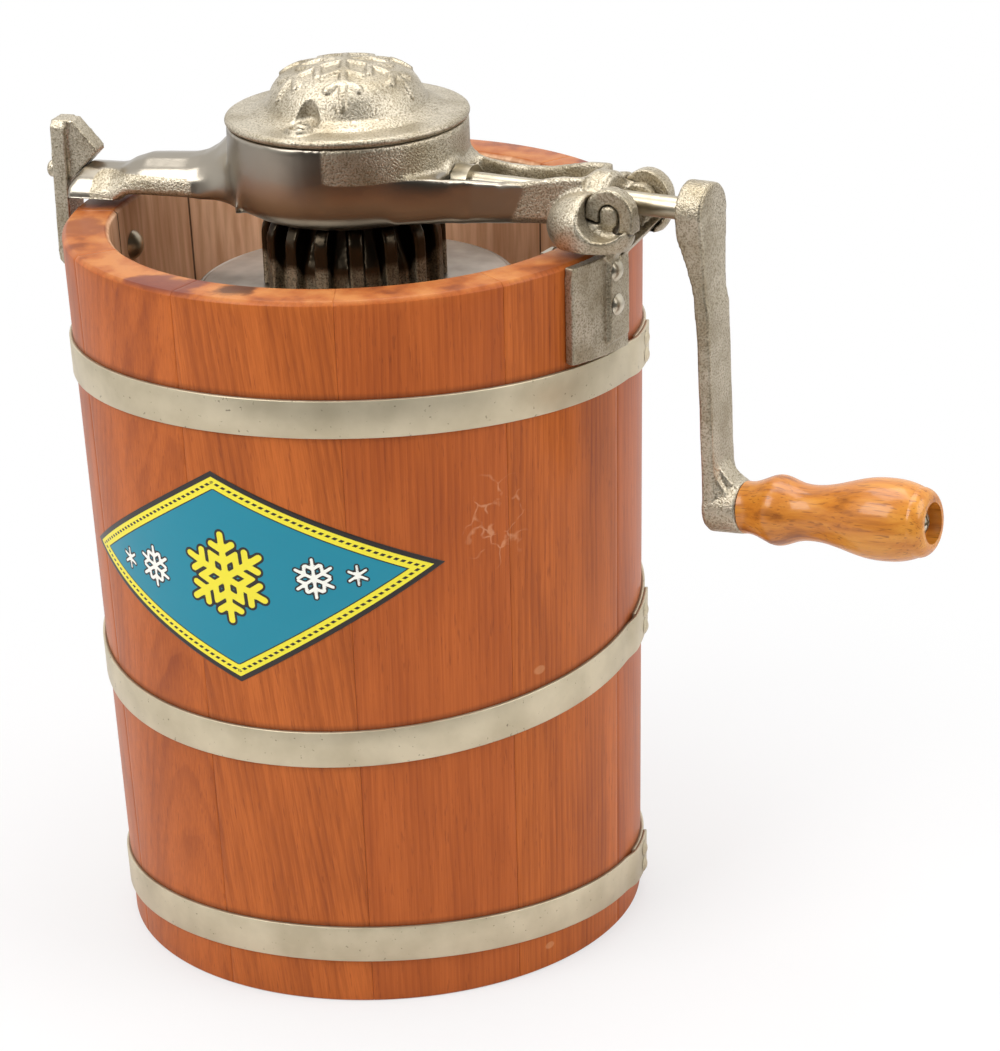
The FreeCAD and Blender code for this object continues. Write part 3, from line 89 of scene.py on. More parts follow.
def add(tree: NodeTree, kind: str, inputs: dict | None = None, stops: list | None = None,
        **settings: object) -> Node:
    """Adds one shader node with its settings, values and links.

    Args:
        tree: the node tree.
        kind: the node's type without the word ShaderNode, and its operation or data type if any.
        inputs: what its sockets are fed, as feed takes it.
        stops: for a colour ramp, each place with a hex colour or a grey level, in order.
        settings: the node's own attributes.

    Returns:
        The new node.
    """
    kind, _, mode = kind.partition(" ")
    node = tree.nodes.new("ShaderNode" + kind)
    if mode:
        settings["data_type" if kind == "Mix" else "operation"] = mode
    for name, value in settings.items():
        setattr(node, name, value)
    feed(node, inputs or {})
    for number, (place, level) in enumerate(stops or []):
        band = node.color_ramp.elements
        element = band[number] if number < len(band) else band.new(1.0)
        element.position = place
        element.color = linear(level) if isinstance(level, str) else (level, level, level, 1.0)
    return node


def blank_material(name: str) -> tuple[Material, NodeTree, Node]:
    """New material whose tree holds only a Principled shader and its output.

    Args:
        name: the material's name.

    Returns:
        The material, its tree and the shader.
    """
    material = bpy.data.materials.new(name)
    material.use_nodes = True
    tree = material.node_tree
    tree.nodes.clear()
    shader = add(tree, "BsdfPrincipled")
    add(tree, "OutputMaterial", {"Surface": shader})
    return material, tree, shader


def grid_faces(rows: int, columns: int, closed: bool = True) -> np.ndarray:
    """Quads between the points of a grid, as whole arrays.

    Args:
        rows: points along the path.
        columns: points round the section.
        closed: joins the last column to the first.

    Returns:
        An array of four point numbers per face.
    """
    i = np.arange(rows - 1)[:, None] * columns
    j = np.arange(columns if closed else columns - 1)[None, :]
    beside = (j + 1) % columns
    return np.stack([i + j, i + beside, i + columns + beside, i + columns + j], axis=-1).reshape(-1, 4)


def capped_faces(rows: int, columns: int) -> np.ndarray:
    """Quads of a loft with both ends closed, whose section runs out and back in equal steps.

    Args:
        rows: sections along the path.
        columns: points of a section, an even number.

    Returns:
        An array of four point numbers per face.
    """
    a = np.arange(columns // 2 - 1)
    first = np.stack([a + 1, a, columns - 1 - a, columns - 2 - a], axis=-1)
    last = first[:, [1, 0, 3, 2]] + (rows - 1) * columns
    return np.concatenate([grid_faces(rows, columns), first, last])


def round_axis(radius: np.ndarray, angle: np.ndarray, height: np.ndarray) -> np.ndarray:
    """Places at a distance from the tub's axis, an angle round it and a height."""
    parts = np.broadcast_arrays(radius * np.cos(angle), radius * np.sin(angle), height)
    return np.stack(parts, axis=-1)


def link_new(name: str, data: bpy.types.ID) -> Object:
    """Puts a new object that shows the given data into the scene."""
    item = bpy.data.objects.new(name, data)
    bpy.context.scene.collection.objects.link(item)
    return item


def weld(mesh: Mesh, reach: float, outwards: bool = True) -> None:
    """Joins the points of a mesh that coincide.

    Args:
        mesh: the mesh.
        reach: points nearer than this, in millimetres, become one.
        outwards: also turns the faces outwards.
    """
    work = bmesh.new()
    work.from_mesh(mesh)
    bmesh.ops.remove_doubles(work, verts=work.verts, dist=reach * MM)
    if outwards:
        bmesh.ops.recalc_face_normals(work, faces=work.faces)
    work.to_mesh(mesh)
    work.free()


def put_mesh(name: str, points: np.ndarray, faces: np.ndarray, material: Material,
             merge: float = 1e-4) -> Object:
    """Makes a smooth mesh object from arrays in millimetres.

    Args:
        name: the piece's name.
        points: an array of places.
        faces: an array of four point numbers per face.
        material: the finish.
        merge: points nearer than this, in millimetres, become one.

    Returns:
        The linked object, with its faces pointing outwards.
    """
    mesh = bpy.data.meshes.new(name)
    flat = np.ascontiguousarray(points.reshape(-1, 3) * MM, dtype=np.float32)
    mesh.from_pydata(flat, [], faces.tolist())
    mesh.polygons.foreach_set("use_smooth", np.ones(len(faces), dtype=bool))
    mesh.materials.append(material)
    weld(mesh, merge)
    return link_new(name, mesh)


def settle(piece: Object) -> Object:
    """Applies a piece's modifiers to its mesh.

    Args:
        piece: the object.

    Returns:
        The same object.
    """
    graph = bpy.context.evaluated_depsgraph_get()
    done = bpy.data.meshes.new_from_object(piece.evaluated_get(graph), preserve_all_data_layers=True,
                                           depsgraph=graph)
    piece.modifiers.clear()
    piece.data = done
    return piece


def points_of(piece: Object) -> np.ndarray:
    """Places of a piece's vertices in millimetres."""
    flat = np.empty(len(piece.data.vertices) * 3, dtype=np.float32)
    piece.data.vertices.foreach_get("co", flat)
    return flat.reshape(-1, 3).astype(float) / MM


def move_points(piece: Object, points: np.ndarray) -> None:
    """Writes the places of a piece's vertices, given in millimetres."""
    piece.data.vertices.foreach_set("co", (points * MM).astype(np.float32).ravel())
    piece.data.update()


def tag_points(piece: Object, **layers: np.ndarray) -> None:
    """Stores one number or one vector per vertex under each name.

    Args:
        piece: the object.
        layers: for each attribute, an array of numbers, or of three numbers each.
    """
    for name, values in layers.items():
        vector = values.ndim == 2
        layer = piece.data.attributes.new(name, "FLOAT_VECTOR" if vector else "FLOAT", "POINT")
        layer.data.foreach_set("vector" if vector else "value", values.astype(np.float32).ravel())


def smooth_step(values: np.ndarray, low: float, high: float) -> np.ndarray:
    """Rises from 0 at low to 1 at high along a cubic."""
    t = np.clip((values - low) / (high - low), 0.0, 1.0)
    return t * t * (3.0 - 2.0 * t)


@dataclass(frozen=True)
class StainedCedar:
    """Cedar staves with an orange stain and a worn varnish.

    The eye sees soft darker growth lines up the stave, short brown flecks of grain, a slightly
    different red in each stave, pale wood with dark seams inside, a worn rim with old stains, and
    a few scuffs that show as faint pale curls and chips.
    """

    light: str = "#C2682C"
    middle: str = "#A85722"
    dark: str = "#86401A"
    red: str = "#9E4A20"
    bare: str = "#F0C29C"
    ring: float = 3.2
    roughness: float = 0.40
    curls: tuple = ((108.4, -66.3, 227.0, 26.0),)
    chips: tuple = ((113.4, -42.9, 11.0, 3.6), (115.8, -47.0, 150.0, 4.2), (117.2, -38.0, 158.0, 2.4))
    stains: tuple = ((-22.0, -124.0, 333.2, 24.0, "#6E382E"), (14.0, -117.5, 333.2, 13.0, "#3A2216"),
                     (-104.0, -66.0, 333.2, 18.0, "#8A4A2C"), (92.0, 84.0, 333.2, 40.0, "#7A4036"))

    def make(self, hoops: list[tuple[float, float, float]], half_width: float) -> Material:
        """Builds the material.

        Args:
            hoops: each hoop's middle height and its slopes along X and Y.
            half_width: half of a hoop's width.

        Returns:
            The material, which reads the staves' grain, tone, rim, skin and seam attributes.
        """
        material, tree, shader = blank_material("stained_cedar")
        grain = add(tree, "Attribute", attribute_name="grain").outputs["Vector"]
        place = add(tree, "TexCoord").outputs["Object"]
        fine = add(tree, "Mapping", {0: grain, 3: (1.5, 1.5, 0.035)})
        fibre = add(tree, "TexNoise", {"Vector": fine, "Scale": 1.0, "Detail": 4.0, "Roughness": 0.6})
        # the stained grain gets a painted shadow just above each hoop's top edge
        stained = self.painted_hoop_shadow(tree, place, self.figure(tree, grain, fibre), hoops, half_width)
        wear_map = add(tree, "Mapping", {0: place, 3: (60.0, 60.0, 60.0)})
        wear = add(tree, "TexNoise", {"Vector": wear_map, "Scale": 1.0, "Detail": 5.0})
        topped = self.scuffs(tree, place, self.worn_rim(tree, place, stained, wear), wear)
        colour, inside = self.bare_side(tree, grain, topped, wear)
        dull = add(tree, "MapRange", {0: inside, 3: self.roughness, 4: 0.85})
        bump = add(tree, "Bump", {"Height": fibre, "Strength": 0.12, "Distance": 0.0004})
        feed(shader, {"Base Color": colour, "Roughness": dull, "Specular IOR Level": 0.15,
                      "Coat Weight": 0.10, "Coat Roughness": 0.22, "Normal": bump})
        return material

    def figure(self, tree: NodeTree, grain: Source,
               fibre: Source) -> Source:
        """Colour of the stained grain.

        Growth rings are circles about the pith, bent by a slow noise and faded in and out by a
        second one. Fibres, clouds and short flecks lie over them.

        Args:
            tree: the node tree.
            grain: place in the board in millimetres.
            fibre: the fine noise along the grain.

        Returns:
            The colour.
        """
        tone = add(tree, "Attribute", attribute_name="tone").outputs["Fac"]
        slow = add(tree, "Mapping", {0: grain, 3: (0.030, 0.030, 0.006)})
        sway = add(tree, "TexNoise", {"Vector": slow, "Scale": 1.0, "Detail": 3.0})
        across = add(tree, "VectorMath MULTIPLY", {0: grain, 1: (1.0, 1.0, 0.0)})
        radius = add(tree, "VectorMath LENGTH", {0: across})
        swayed = add(tree, "Math MULTIPLY_ADD", {0: sway, 1: 9.0, 2: radius})
        turns = add(tree, "Math MULTIPLY", {0: swayed, 1: 1.0 / self.ring})
        ring = add(tree, "Math FRACT", {0: turns})
        late = add(tree, "ValToRGB", {0: ring}, stops=[
            (0.0, 0.2), (0.15, 0.0), (0.5, 0.2), (0.84, 0.9), (0.95, 0.8), (1.0, 0.2)])
        broad = add(tree, "Mapping", {0: grain, 3: (0.07, 0.07, 0.009)})
        cloud = add(tree, "TexNoise", {"Vector": broad, "Scale": 1.0, "Detail": 2.0})
        shown = add(tree, "MapRange", {0: cloud, 1: 0.35, 2: 0.70, 3: 0.05, 4: 0.24})
        mix = add(tree, "Math MULTIPLY", {0: late, 1: shown})
        mix = add(tree, "Math MULTIPLY_ADD", {0: fibre, 1: 0.55, 2: mix})
        mix = add(tree, "Math MULTIPLY_ADD", {0: cloud, 1: 0.55, 2: mix})
        stain = add(tree, "ValToRGB", {0: mix}, stops=[
            (0.40, self.light), (0.62, self.middle), (0.92, self.dark)])
        redder = add(tree, "Mix RGBA", {0: tone, "A": stain, "B": self.red})
        fleck_map = add(tree, "Mapping", {0: grain, 3: (1.1, 1.1, 0.10)})
        fleck = add(tree, "TexNoise", {"Vector": fleck_map, "Scale": 1.0, "Detail": 2.0})
        flecks = add(tree, "ValToRGB", {0: fleck}, stops=[(0.63, 0.0), (0.71, 0.45)])
        return add(tree, "Mix RGBA", {0: flecks, "A": redder, "B": "#7A3A1C"})

    def painted_hoop_shadow(self, tree: NodeTree, place: Source, colour: Source,
              hoops: list[tuple[float, float, float]], half_width: float) -> Source:
        """Adds a painted shadow: a thin dark line on the wood just above each hoop, where the hoop's raised
        top edge shades the stave.

        Args:
            tree: the node tree.
            place: Object coordinates.
            colour: the colour so far.
            hoops: each hoop's middle height and its slopes along X and Y.
            half_width: half of a hoop's width.

        Returns:
            The colour.
        """
        for middle, slope_x, slope_y in hoops:
            rise = add(tree, "VectorMath DOT_PRODUCT", {0: place, 1: (-slope_x, -slope_y, 1.0)})
            above = add(tree, "Math SUBTRACT", {0: rise, 1: (middle + half_width) * MM})
            line = add(tree, "MapRange", {0: above, 1: 0.0, 2: 3.0 * MM, 3: 0.60, 4: 0.0})
            near = add(tree, "Math GREATER_THAN", {0: above, 1: -0.004})
            line = add(tree, "Math MULTIPLY", {0: line, 1: near})
            # painted shadow colour: the shade under each hoop's raised top edge
            colour = add(tree, "Mix RGBA", {0: line, "A": colour, "B": "#4A2213"})
        return colour

    def worn_rim(self, tree: NodeTree, place: Source, colour: Source,
                 wear: Source) -> Source:
        """Adds the rim's worn lighter wood and its old stains.

        Args:
            tree: the node tree.
            place: Object coordinates.
            colour: the colour so far.
            wear: a cloudy noise.

        Returns:
            The colour.
        """
        rim = add(tree, "Attribute", attribute_name="rim").outputs["Fac"]
        worn = add(tree, "ValToRGB", {0: wear}, stops=[
            (0.34, "#7E4020"), (0.46, "#A85F2E"), (0.62, "#BE7C44")])
        part = add(tree, "Math MULTIPLY", {0: rim, 1: 0.85})
        colour = add(tree, "Mix RGBA", {0: part, "A": colour, "B": worn})
        for x, y, z, reach, dark in self.stains:
            far = add(tree, "VectorMath DISTANCE", {0: place, 1: (x * MM, y * MM, z * MM)})
            ragged = add(tree, "Math MULTIPLY_ADD", {0: wear, 1: reach * MM * 2.6, 2: far})
            spread = add(tree, "MapRange", {
                0: ragged, 1: reach * MM * 1.85, 2: reach * MM * 2.25, 3: 0.8, 4: 0.0})
            part = add(tree, "Math MULTIPLY", {0: spread, 1: rim})
            colour = add(tree, "Mix RGBA", {0: part, "A": colour, "B": dark})
        return colour

    def scuffs(self, tree: NodeTree, place: Source, colour: Source,
               wear: Source) -> Source:
        """Adds faint pale curls and chips where the varnish was rubbed.

        Args:
            tree: the node tree.
            place: Object coordinates.
            colour: the colour so far.
            wear: a cloudy noise.

        Returns:
            The colour.
        """
        bend = add(tree, "TexNoise", {"Vector": place, "Scale": 70.0, "Detail": 2.0}).outputs["Color"]
        bent = add(tree, "VectorMath MULTIPLY_ADD", {0: bend, 1: (0.022, 0.022, 0.022), 2: place})
        cells = add(tree, "TexVoronoi", {"Vector": bent, "Scale": 85.0}, feature="DISTANCE_TO_EDGE")
        line = add(tree, "MapRange", {0: cells, 1: 0.015, 2: 0.06, 3: 1.0, 4: 0.0})
        broken = add(tree, "TexNoise", {"Vector": place, "Scale": 150.0, "Detail": 3.0})
        broken = add(tree, "ValToRGB", {0: broken}, stops=[(0.44, 0.0), (0.60, 1.0)])
        line = add(tree, "Math MULTIPLY", {0: line, 1: broken})
        for x, y, z, reach in self.curls:
            squeezed = add(tree, "Mapping", {
                0: place, 1: (-x * MM * 1.5, -y * MM * 1.5, -z * MM), 3: (1.5, 1.5, 1.0)})
            far = add(tree, "VectorMath LENGTH", {0: squeezed})
            near = add(tree, "MapRange", {0: far, 1: reach * MM * 0.6, 2: reach * MM, 3: 0.42, 4: 0.0})
            part = add(tree, "Math MULTIPLY", {0: line, 1: near})
            colour = add(tree, "Mix RGBA", {0: part, "A": colour, "B": "#D9A27A"})
        for x, y, z, reach in self.chips:
            squeezed = add(tree, "Mapping", {
                0: place, 1: (-x * MM, -y * MM, -z * MM * 1.5), 3: (1.0, 1.0, 1.5)})
            far = add(tree, "VectorMath LENGTH", {0: squeezed})
            ragged = add(tree, "Math MULTIPLY_ADD", {0: wear, 1: reach * MM, 2: far})
            near = add(tree, "MapRange", {
                0: ragged, 1: reach * MM * 1.15, 2: reach * MM * 1.35, 3: 0.35, 4: 0.0})
            colour = add(tree, "Mix RGBA", {0: near, "A": colour, "B": "#D29A6C"})
        return colour

    def bare_side(self, tree: NodeTree, grain: Source, colour: Source,
                  wear: Source) -> tuple[Source, Source]:
        """Puts pale wood with dark seams on the inside.

        Args:
            tree: the node tree.
            grain: place in the board in millimetres.
            colour: the outside's colour.
            wear: a cloudy noise.

        Returns:
            The colour, and the share of bare wood.
        """
        skin = add(tree, "Attribute", attribute_name="skin").outputs["Fac"]
        seam = add(tree, "Attribute", attribute_name="seam").outputs["Fac"]
        stretched = add(tree, "Mapping", {0: grain, 3: (0.25, 0.25, 0.02)})
        lines = add(tree, "TexNoise", {"Vector": stretched, "Scale": 1.0, "Detail": 3.0})
        pale = add(tree, "ValToRGB", {0: lines}, stops=[(0.35, "#D4A07A"), (0.65, self.bare)])
        gap = add(tree, "MapRange", {0: seam, 1: 0.35, 2: 0.75, 3: 0.85, 4: 0.0})
        pale = add(tree, "Mix RGBA", {0: gap, "A": pale, "B": "#2E1E16"})
        edge = add(tree, "Math MULTIPLY_ADD", {0: wear, 1: 0.10, 2: skin})
        inside = add(tree, "MapRange", {0: edge, 1: 0.97, 2: 1.03})
        mixed = add(tree, "Mix RGBA", {0: inside, "A": colour, "B": pale})
        return mixed, inside


@dataclass(frozen=True)
class GalvanisedStrip:
    """Rolled steel strip with dull zinc, as on the hoops.

    The eye sees an even warm grey, soft smears, small dark specks and a few rust spots, and a
    half-dull shine that runs round the hoop.

    Attributes:
        smears: how many smears lie along a metre, so one is about 26 mm.
        specks: how many specks, about 2 mm each.
        rust_spots: how many places for a rust spot.
    """

    body: str = "#CFC3A8"
    smear: str = "#B9AD92"
    speck: str = "#6A5E4B"
    smears: float = 38.0
    specks: float = 520.0
    rust_spots: float = 24.0

    def make(self) -> Material:
        """Builds the material on Object coordinates."""
        material, tree, shader = blank_material("galvanised_strip")
        place = add(tree, "TexCoord").outputs["Object"]
        broad = add(tree, "TexNoise", {"Vector": place, "Scale": self.smears, "Detail": 4.0})
        colour = add(tree, "ValToRGB", {0: broad}, stops=[(0.35, self.smear), (0.62, self.body)])
        small = add(tree, "TexNoise", {"Vector": place, "Scale": self.specks, "Detail": 2.0})
        specks = add(tree, "ValToRGB", {0: small}, stops=[(0.69, 0.0), (0.76, 0.7)])
        colour = add(tree, "Mix RGBA", {0: specks, "A": colour, "B": self.speck})
        spots = add(tree, "TexVoronoi", {"Vector": place, "Scale": self.rust_spots})
        rust = add(tree, "ValToRGB", {0: spots}, stops=[(0.04, 0.9), (0.065, 0.0)])
        colour = add(tree, "Mix RGBA", {0: rust, "A": colour, "B": "#6A5228"})
        rough = add(tree, "MapRange", {0: broad, 3: 0.36, 4: 0.50})
        bump = add(tree, "Bump", {"Height": small, "Strength": 0.10, "Distance": 0.0003})
        feed(shader, {"Base Color": colour, "Metallic": 0.62, "Roughness": rough, "Normal": bump})
        return material


class Surface(Enum):
    """What state a casting's plated skin is in, or a darker copy of it that paints the shade on the lid
    gear.
    """

    SAND_CAST = "sand_cast"
    # a darker copy of the finish: painted shade for the lid gear, which sits in the frame's shade
    GREASED = "shade_painted"


@dataclass(frozen=True)
class PlatedCasting:
    """Sand cast iron under dull nickel plate, rough as it left the sand or ground smooth.

    The eye sees warm grey metal with a fine pebbled grain under a millimetre across that sparkles,
    yellow and brown tarnish in the hollows, and smooth darker mirror where it was polished.
    """

    surface: Surface
    body: str = "#C9BFAB"
    tarnish: str = "#A89C84"
    deep: str = "#75684F"
    smooth: str = "#A0988B"
    grain: float = 0.9
    roughness: float = 0.40

    def make(self) -> Material:
        """Builds the material on Object coordinates; the polish attribute picks the smooth colour, which is
        polish on the frame and painted shade on the lid gear.
        """
        material, tree, shader = blank_material("nickel_" + self.surface.value)
        place = add(tree, "TexCoord").outputs["Object"]
        polish = add(tree, "Attribute", attribute_name="polish").outputs["Fac"]
        pebbles = add(tree, "TexNoise", {"Vector": place, "Scale": 1000.0 / self.grain, "Detail": 2.0,
                                         "Roughness": 0.55})
        broad = add(tree, "TexNoise", {"Vector": place, "Scale": 55.0, "Detail": 4.0})
        rough = add(tree, "ValToRGB", {0: broad}, stops=[(0.34, self.tarnish), (0.60, self.body)])
        pits = add(tree, "ValToRGB", {0: pebbles}, stops=[(0.32, 0.75), (0.56, 0.0)])
        rough = add(tree, "Mix RGBA", {0: pits, "A": rough, "B": self.deep})
        shown = add(tree, "MapRange", {0: broad, 1: 0.35, 2: 0.65, 3: -0.06, 4: 0.06})
        edge = add(tree, "Math ADD", {0: polish, 1: shown})
        # on the lid gear's darker copy this mask lays painted shade, not polish
        ground = add(tree, "MapRange", {0: edge, 1: 0.40, 2: 0.60})
        colour = add(tree, "Mix RGBA", {0: ground, "A": rough, "B": self.smooth})
        metal = add(tree, "MapRange", {0: ground, 3: 0.88, 4: 1.0})
        dull = add(tree, "MapRange", {0: ground, 3: self.roughness, 4: 0.29})
        strength = add(tree, "MapRange", {0: ground, 3: 0.75, 4: 0.03})
        bump = add(tree, "Bump", {"Height": pebbles, "Strength": strength, "Distance": 0.0005})
        feed(shader, {"Base Color": colour, "Metallic": metal, "Roughness": dull, "Normal": bump})
        return material


@dataclass(frozen=True)
class TurnedMaple:
    """Hardwood handle turned on a lathe, stained yellow-orange and varnished to a gloss.

    The eye sees an amber skin with fine brown pores and streaks along the handle, darker towards
    its middle and at the turned edges.
    """

    light: str = "#D08C34"
    middle: str = "#BE7424"
    dark: str = "#8C4E18"
    tilt: float = 4.4

    def make(self) -> Material:
        """Builds the material on Object coordinates turned to run along the handle."""
        material, tree, shader = blank_material("turned_maple")
        place = add(tree, "TexCoord").outputs["Object"]
        local = add(tree, "Mapping", {0: place, 2: (0.0, math.radians(self.tilt), 0.0)})
        streak_map = add(tree, "Mapping", {0: local, 3: (22.0, 260.0, 260.0)})
        streak = add(tree, "TexNoise", {"Vector": streak_map, "Scale": 1.0, "Detail": 5.0, "Roughness": 0.6})
        broad_map = add(tree, "Mapping", {0: local, 3: (14.0, 60.0, 60.0)})
        broad = add(tree, "TexNoise", {"Vector": broad_map, "Scale": 1.0, "Detail": 3.0})
        mix = add(tree, "Mix", {0: 0.5, 2: streak, 3: broad})
        colour = add(tree, "ValToRGB", {0: mix}, stops=[
            (0.36, self.dark), (0.47, self.middle), (0.60, self.light)])
        pore_map = add(tree, "Mapping", {0: local, 3: (90.0, 1100.0, 1100.0)})
        pore = add(tree, "TexNoise", {"Vector": pore_map, "Scale": 1.0, "Detail": 1.0})
        pores = add(tree, "ValToRGB", {0: pore}, stops=[(0.60, 0.0), (0.70, 0.6)])
        colour = add(tree, "Mix RGBA", {0: pores, "A": colour, "B": "#7C4418"})
        feed(shader, {"Base Color": colour, "Roughness": 0.38, "Specular IOR Level": 0.3,
                      "Coat Weight": 0.45, "Coat Roughness": 0.12})
        return material


@dataclass(frozen=True)
class PrintedPaper:
    """Glossy printed paper in five flat inks, as on the label.

    The eye sees a dark border, a yellow band with a row of small dark dashes, a teal field, and
    snow crystals in yellow and white with dark outlines.

    Attributes:
        border: where the dark border ends, in millimetres from the label's edge.
        band: where the yellow band ends.
        line: where the thin dark line ends and the field starts.
        dash_row: how far the row of dashes runs from the edge.
        dash_half: half of a dash's width.
        dash_step: distance from one dash to the next.
        dash_share: share of that distance that is inked.
    """

    teal: str = "#1C8399"
    yellow: str = "#E9DC3A"
    dark: str = "#2E2A28"
    white: str = "#EFEFE6"
    border: float = 2.2
    band: float = 6.9
    line: float = 7.5
    dash_row: float = 4.5
    dash_half: float = 0.62
    dash_step: float = 3.1
    dash_share: float = 0.58

    def make(self, depth: float) -> Material:
        """Builds the material.

        Args:
            depth: distance from the label's middle to its edge, which is the edge attribute's top.

        Returns:
            The material, which reads the edge, run, large and small attributes in millimetres.
        """
        material, tree, shader = blank_material("printed_paper")
        read = {name: add(tree, "Attribute", attribute_name=name).outputs["Fac"]
                for name in ("edge", "run", "large", "small")}
        share = add(tree, "Math MULTIPLY", {0: read["edge"], 1: 1.0 / depth})
        colour = add(tree, "ValToRGB", {0: share}, stops=[
            (0.0, self.dark), (self.border / depth, self.yellow), (self.band / depth, self.dark),
            (self.line / depth, self.teal)])
        colour.color_ramp.interpolation = "CONSTANT"
        off = add(tree, "Math SUBTRACT", {0: read["edge"], 1: self.dash_row})
        off = add(tree, "Math ABSOLUTE", {0: off})
        row = add(tree, "Math LESS_THAN", {0: off, 1: self.dash_half})
        beat = add(tree, "Math MULTIPLY", {0: read["run"], 1: 1.0 / self.dash_step})
        beat = add(tree, "Math FRACT", {0: beat})
        dash = add(tree, "Math LESS_THAN", {0: beat, 1: self.dash_share})
        dash = add(tree, "Math MULTIPLY", {0: dash, 1: row})
        colour = add(tree, "Mix RGBA", {0: dash, "A": colour, "B": self.dark})
        for name, ink, outline in (("large", self.yellow, 1.1), ("small", self.white, 0.7)):
            for level, paint in ((outline, self.dark), (0.0, ink)):
                part = add(tree, "Math LESS_THAN", {0: read[name], 1: level})
                colour = add(tree, "Mix RGBA", {0: part, "A": colour, "B": paint})
        feed(shader, {"Base Color": colour, "Roughness": 0.35, "Specular IOR Level": 0.3})
        return material


@dataclass(frozen=True)
class SmoothMetal:
    """Turned or drawn steel and tinned sheet: screws, rivets, the shaft, the can and its lid.

    The eye sees an even metal with soft cloudy smears and light handling marks.
    """

    name: str
    body: str
    smear: str
    roughness: float
    cloud: float = 60.0

    def make(self) -> Material:
        """Builds the material on Object coordinates."""
        material, tree, shader = blank_material(self.name)
        place = add(tree, "TexCoord").outputs["Object"]
        cloud = add(tree, "TexNoise", {"Vector": place, "Scale": self.cloud, "Detail": 4.0})
        colour = add(tree, "ValToRGB", {0: cloud}, stops=[(0.35, self.smear), (0.62, self.body)])
        rough = add(tree, "MapRange", {0: cloud, 3: self.roughness + 0.12, 4: self.roughness - 0.05})
        feed(shader, {"Base Color": colour, "Metallic": 1.0, "Roughness": rough})
        return material


@dataclass(frozen=True)
class BareWood:
    """Unvarnished softwood, as on the bottom boards and the scrapers.

    The eye sees pale straight grain with slightly darker lines.
    """

    name: str
    light: str
    dark: str

    def make(self) -> Material:
        """Builds the material on Object coordinates."""
        material, tree, shader = blank_material(self.name)
        place = add(tree, "TexCoord").outputs["Object"]
        lines = add(tree, "Mapping", {0: place, 3: (14.0, 300.0, 300.0)})
        grain = add(tree, "TexNoise", {"Vector": lines, "Scale": 1.0, "Detail": 4.0})
        colour = add(tree, "ValToRGB", {0: grain}, stops=[(0.35, self.dark), (0.62, self.light)])
        feed(shader, {"Base Color": colour, "Roughness": 0.78})
        return material


@dataclass
class Camera:
    """Camera at the photograph's viewing angle."""

    distance: float = 1584.6
    height: float = 799.5
    yaw: float = 2.182
    pitch: float = 21.364
    roll: float = -2.306
    focal_pixels: float = 3670.5
    frame_pixels: float = 1051.0

    def place(self) -> None:
        """Sets the scene's camera."""
        yaw, pitch, roll = (math.radians(v) for v in (self.yaw, self.pitch, self.roll))
        ahead = Vector((math.sin(yaw) * math.cos(pitch), math.cos(yaw) * math.cos(pitch), -math.sin(pitch)))
        level = Vector((math.cos(yaw), -math.sin(yaw), 0.0))
        rise = level.cross(ahead)
        right = math.cos(roll) * level + math.sin(roll) * rise
        up = -math.sin(roll) * level + math.cos(roll) * rise
        spin = Matrix.Rotation(math.radians(SHAFT_TURN), 4, "Z")
        stand = Matrix((right, up, -ahead)).transposed().to_4x4()
        stand.translation = Vector((0.0, -self.distance, self.height)) * MM
        data = bpy.data.cameras.new("photo_camera")
        data.lens = self.focal_pixels / self.frame_pixels * data.sensor_width
        camera = link_new("photo_camera", data)
        camera.matrix_world = spin @ stand
        bpy.context.scene.camera = camera


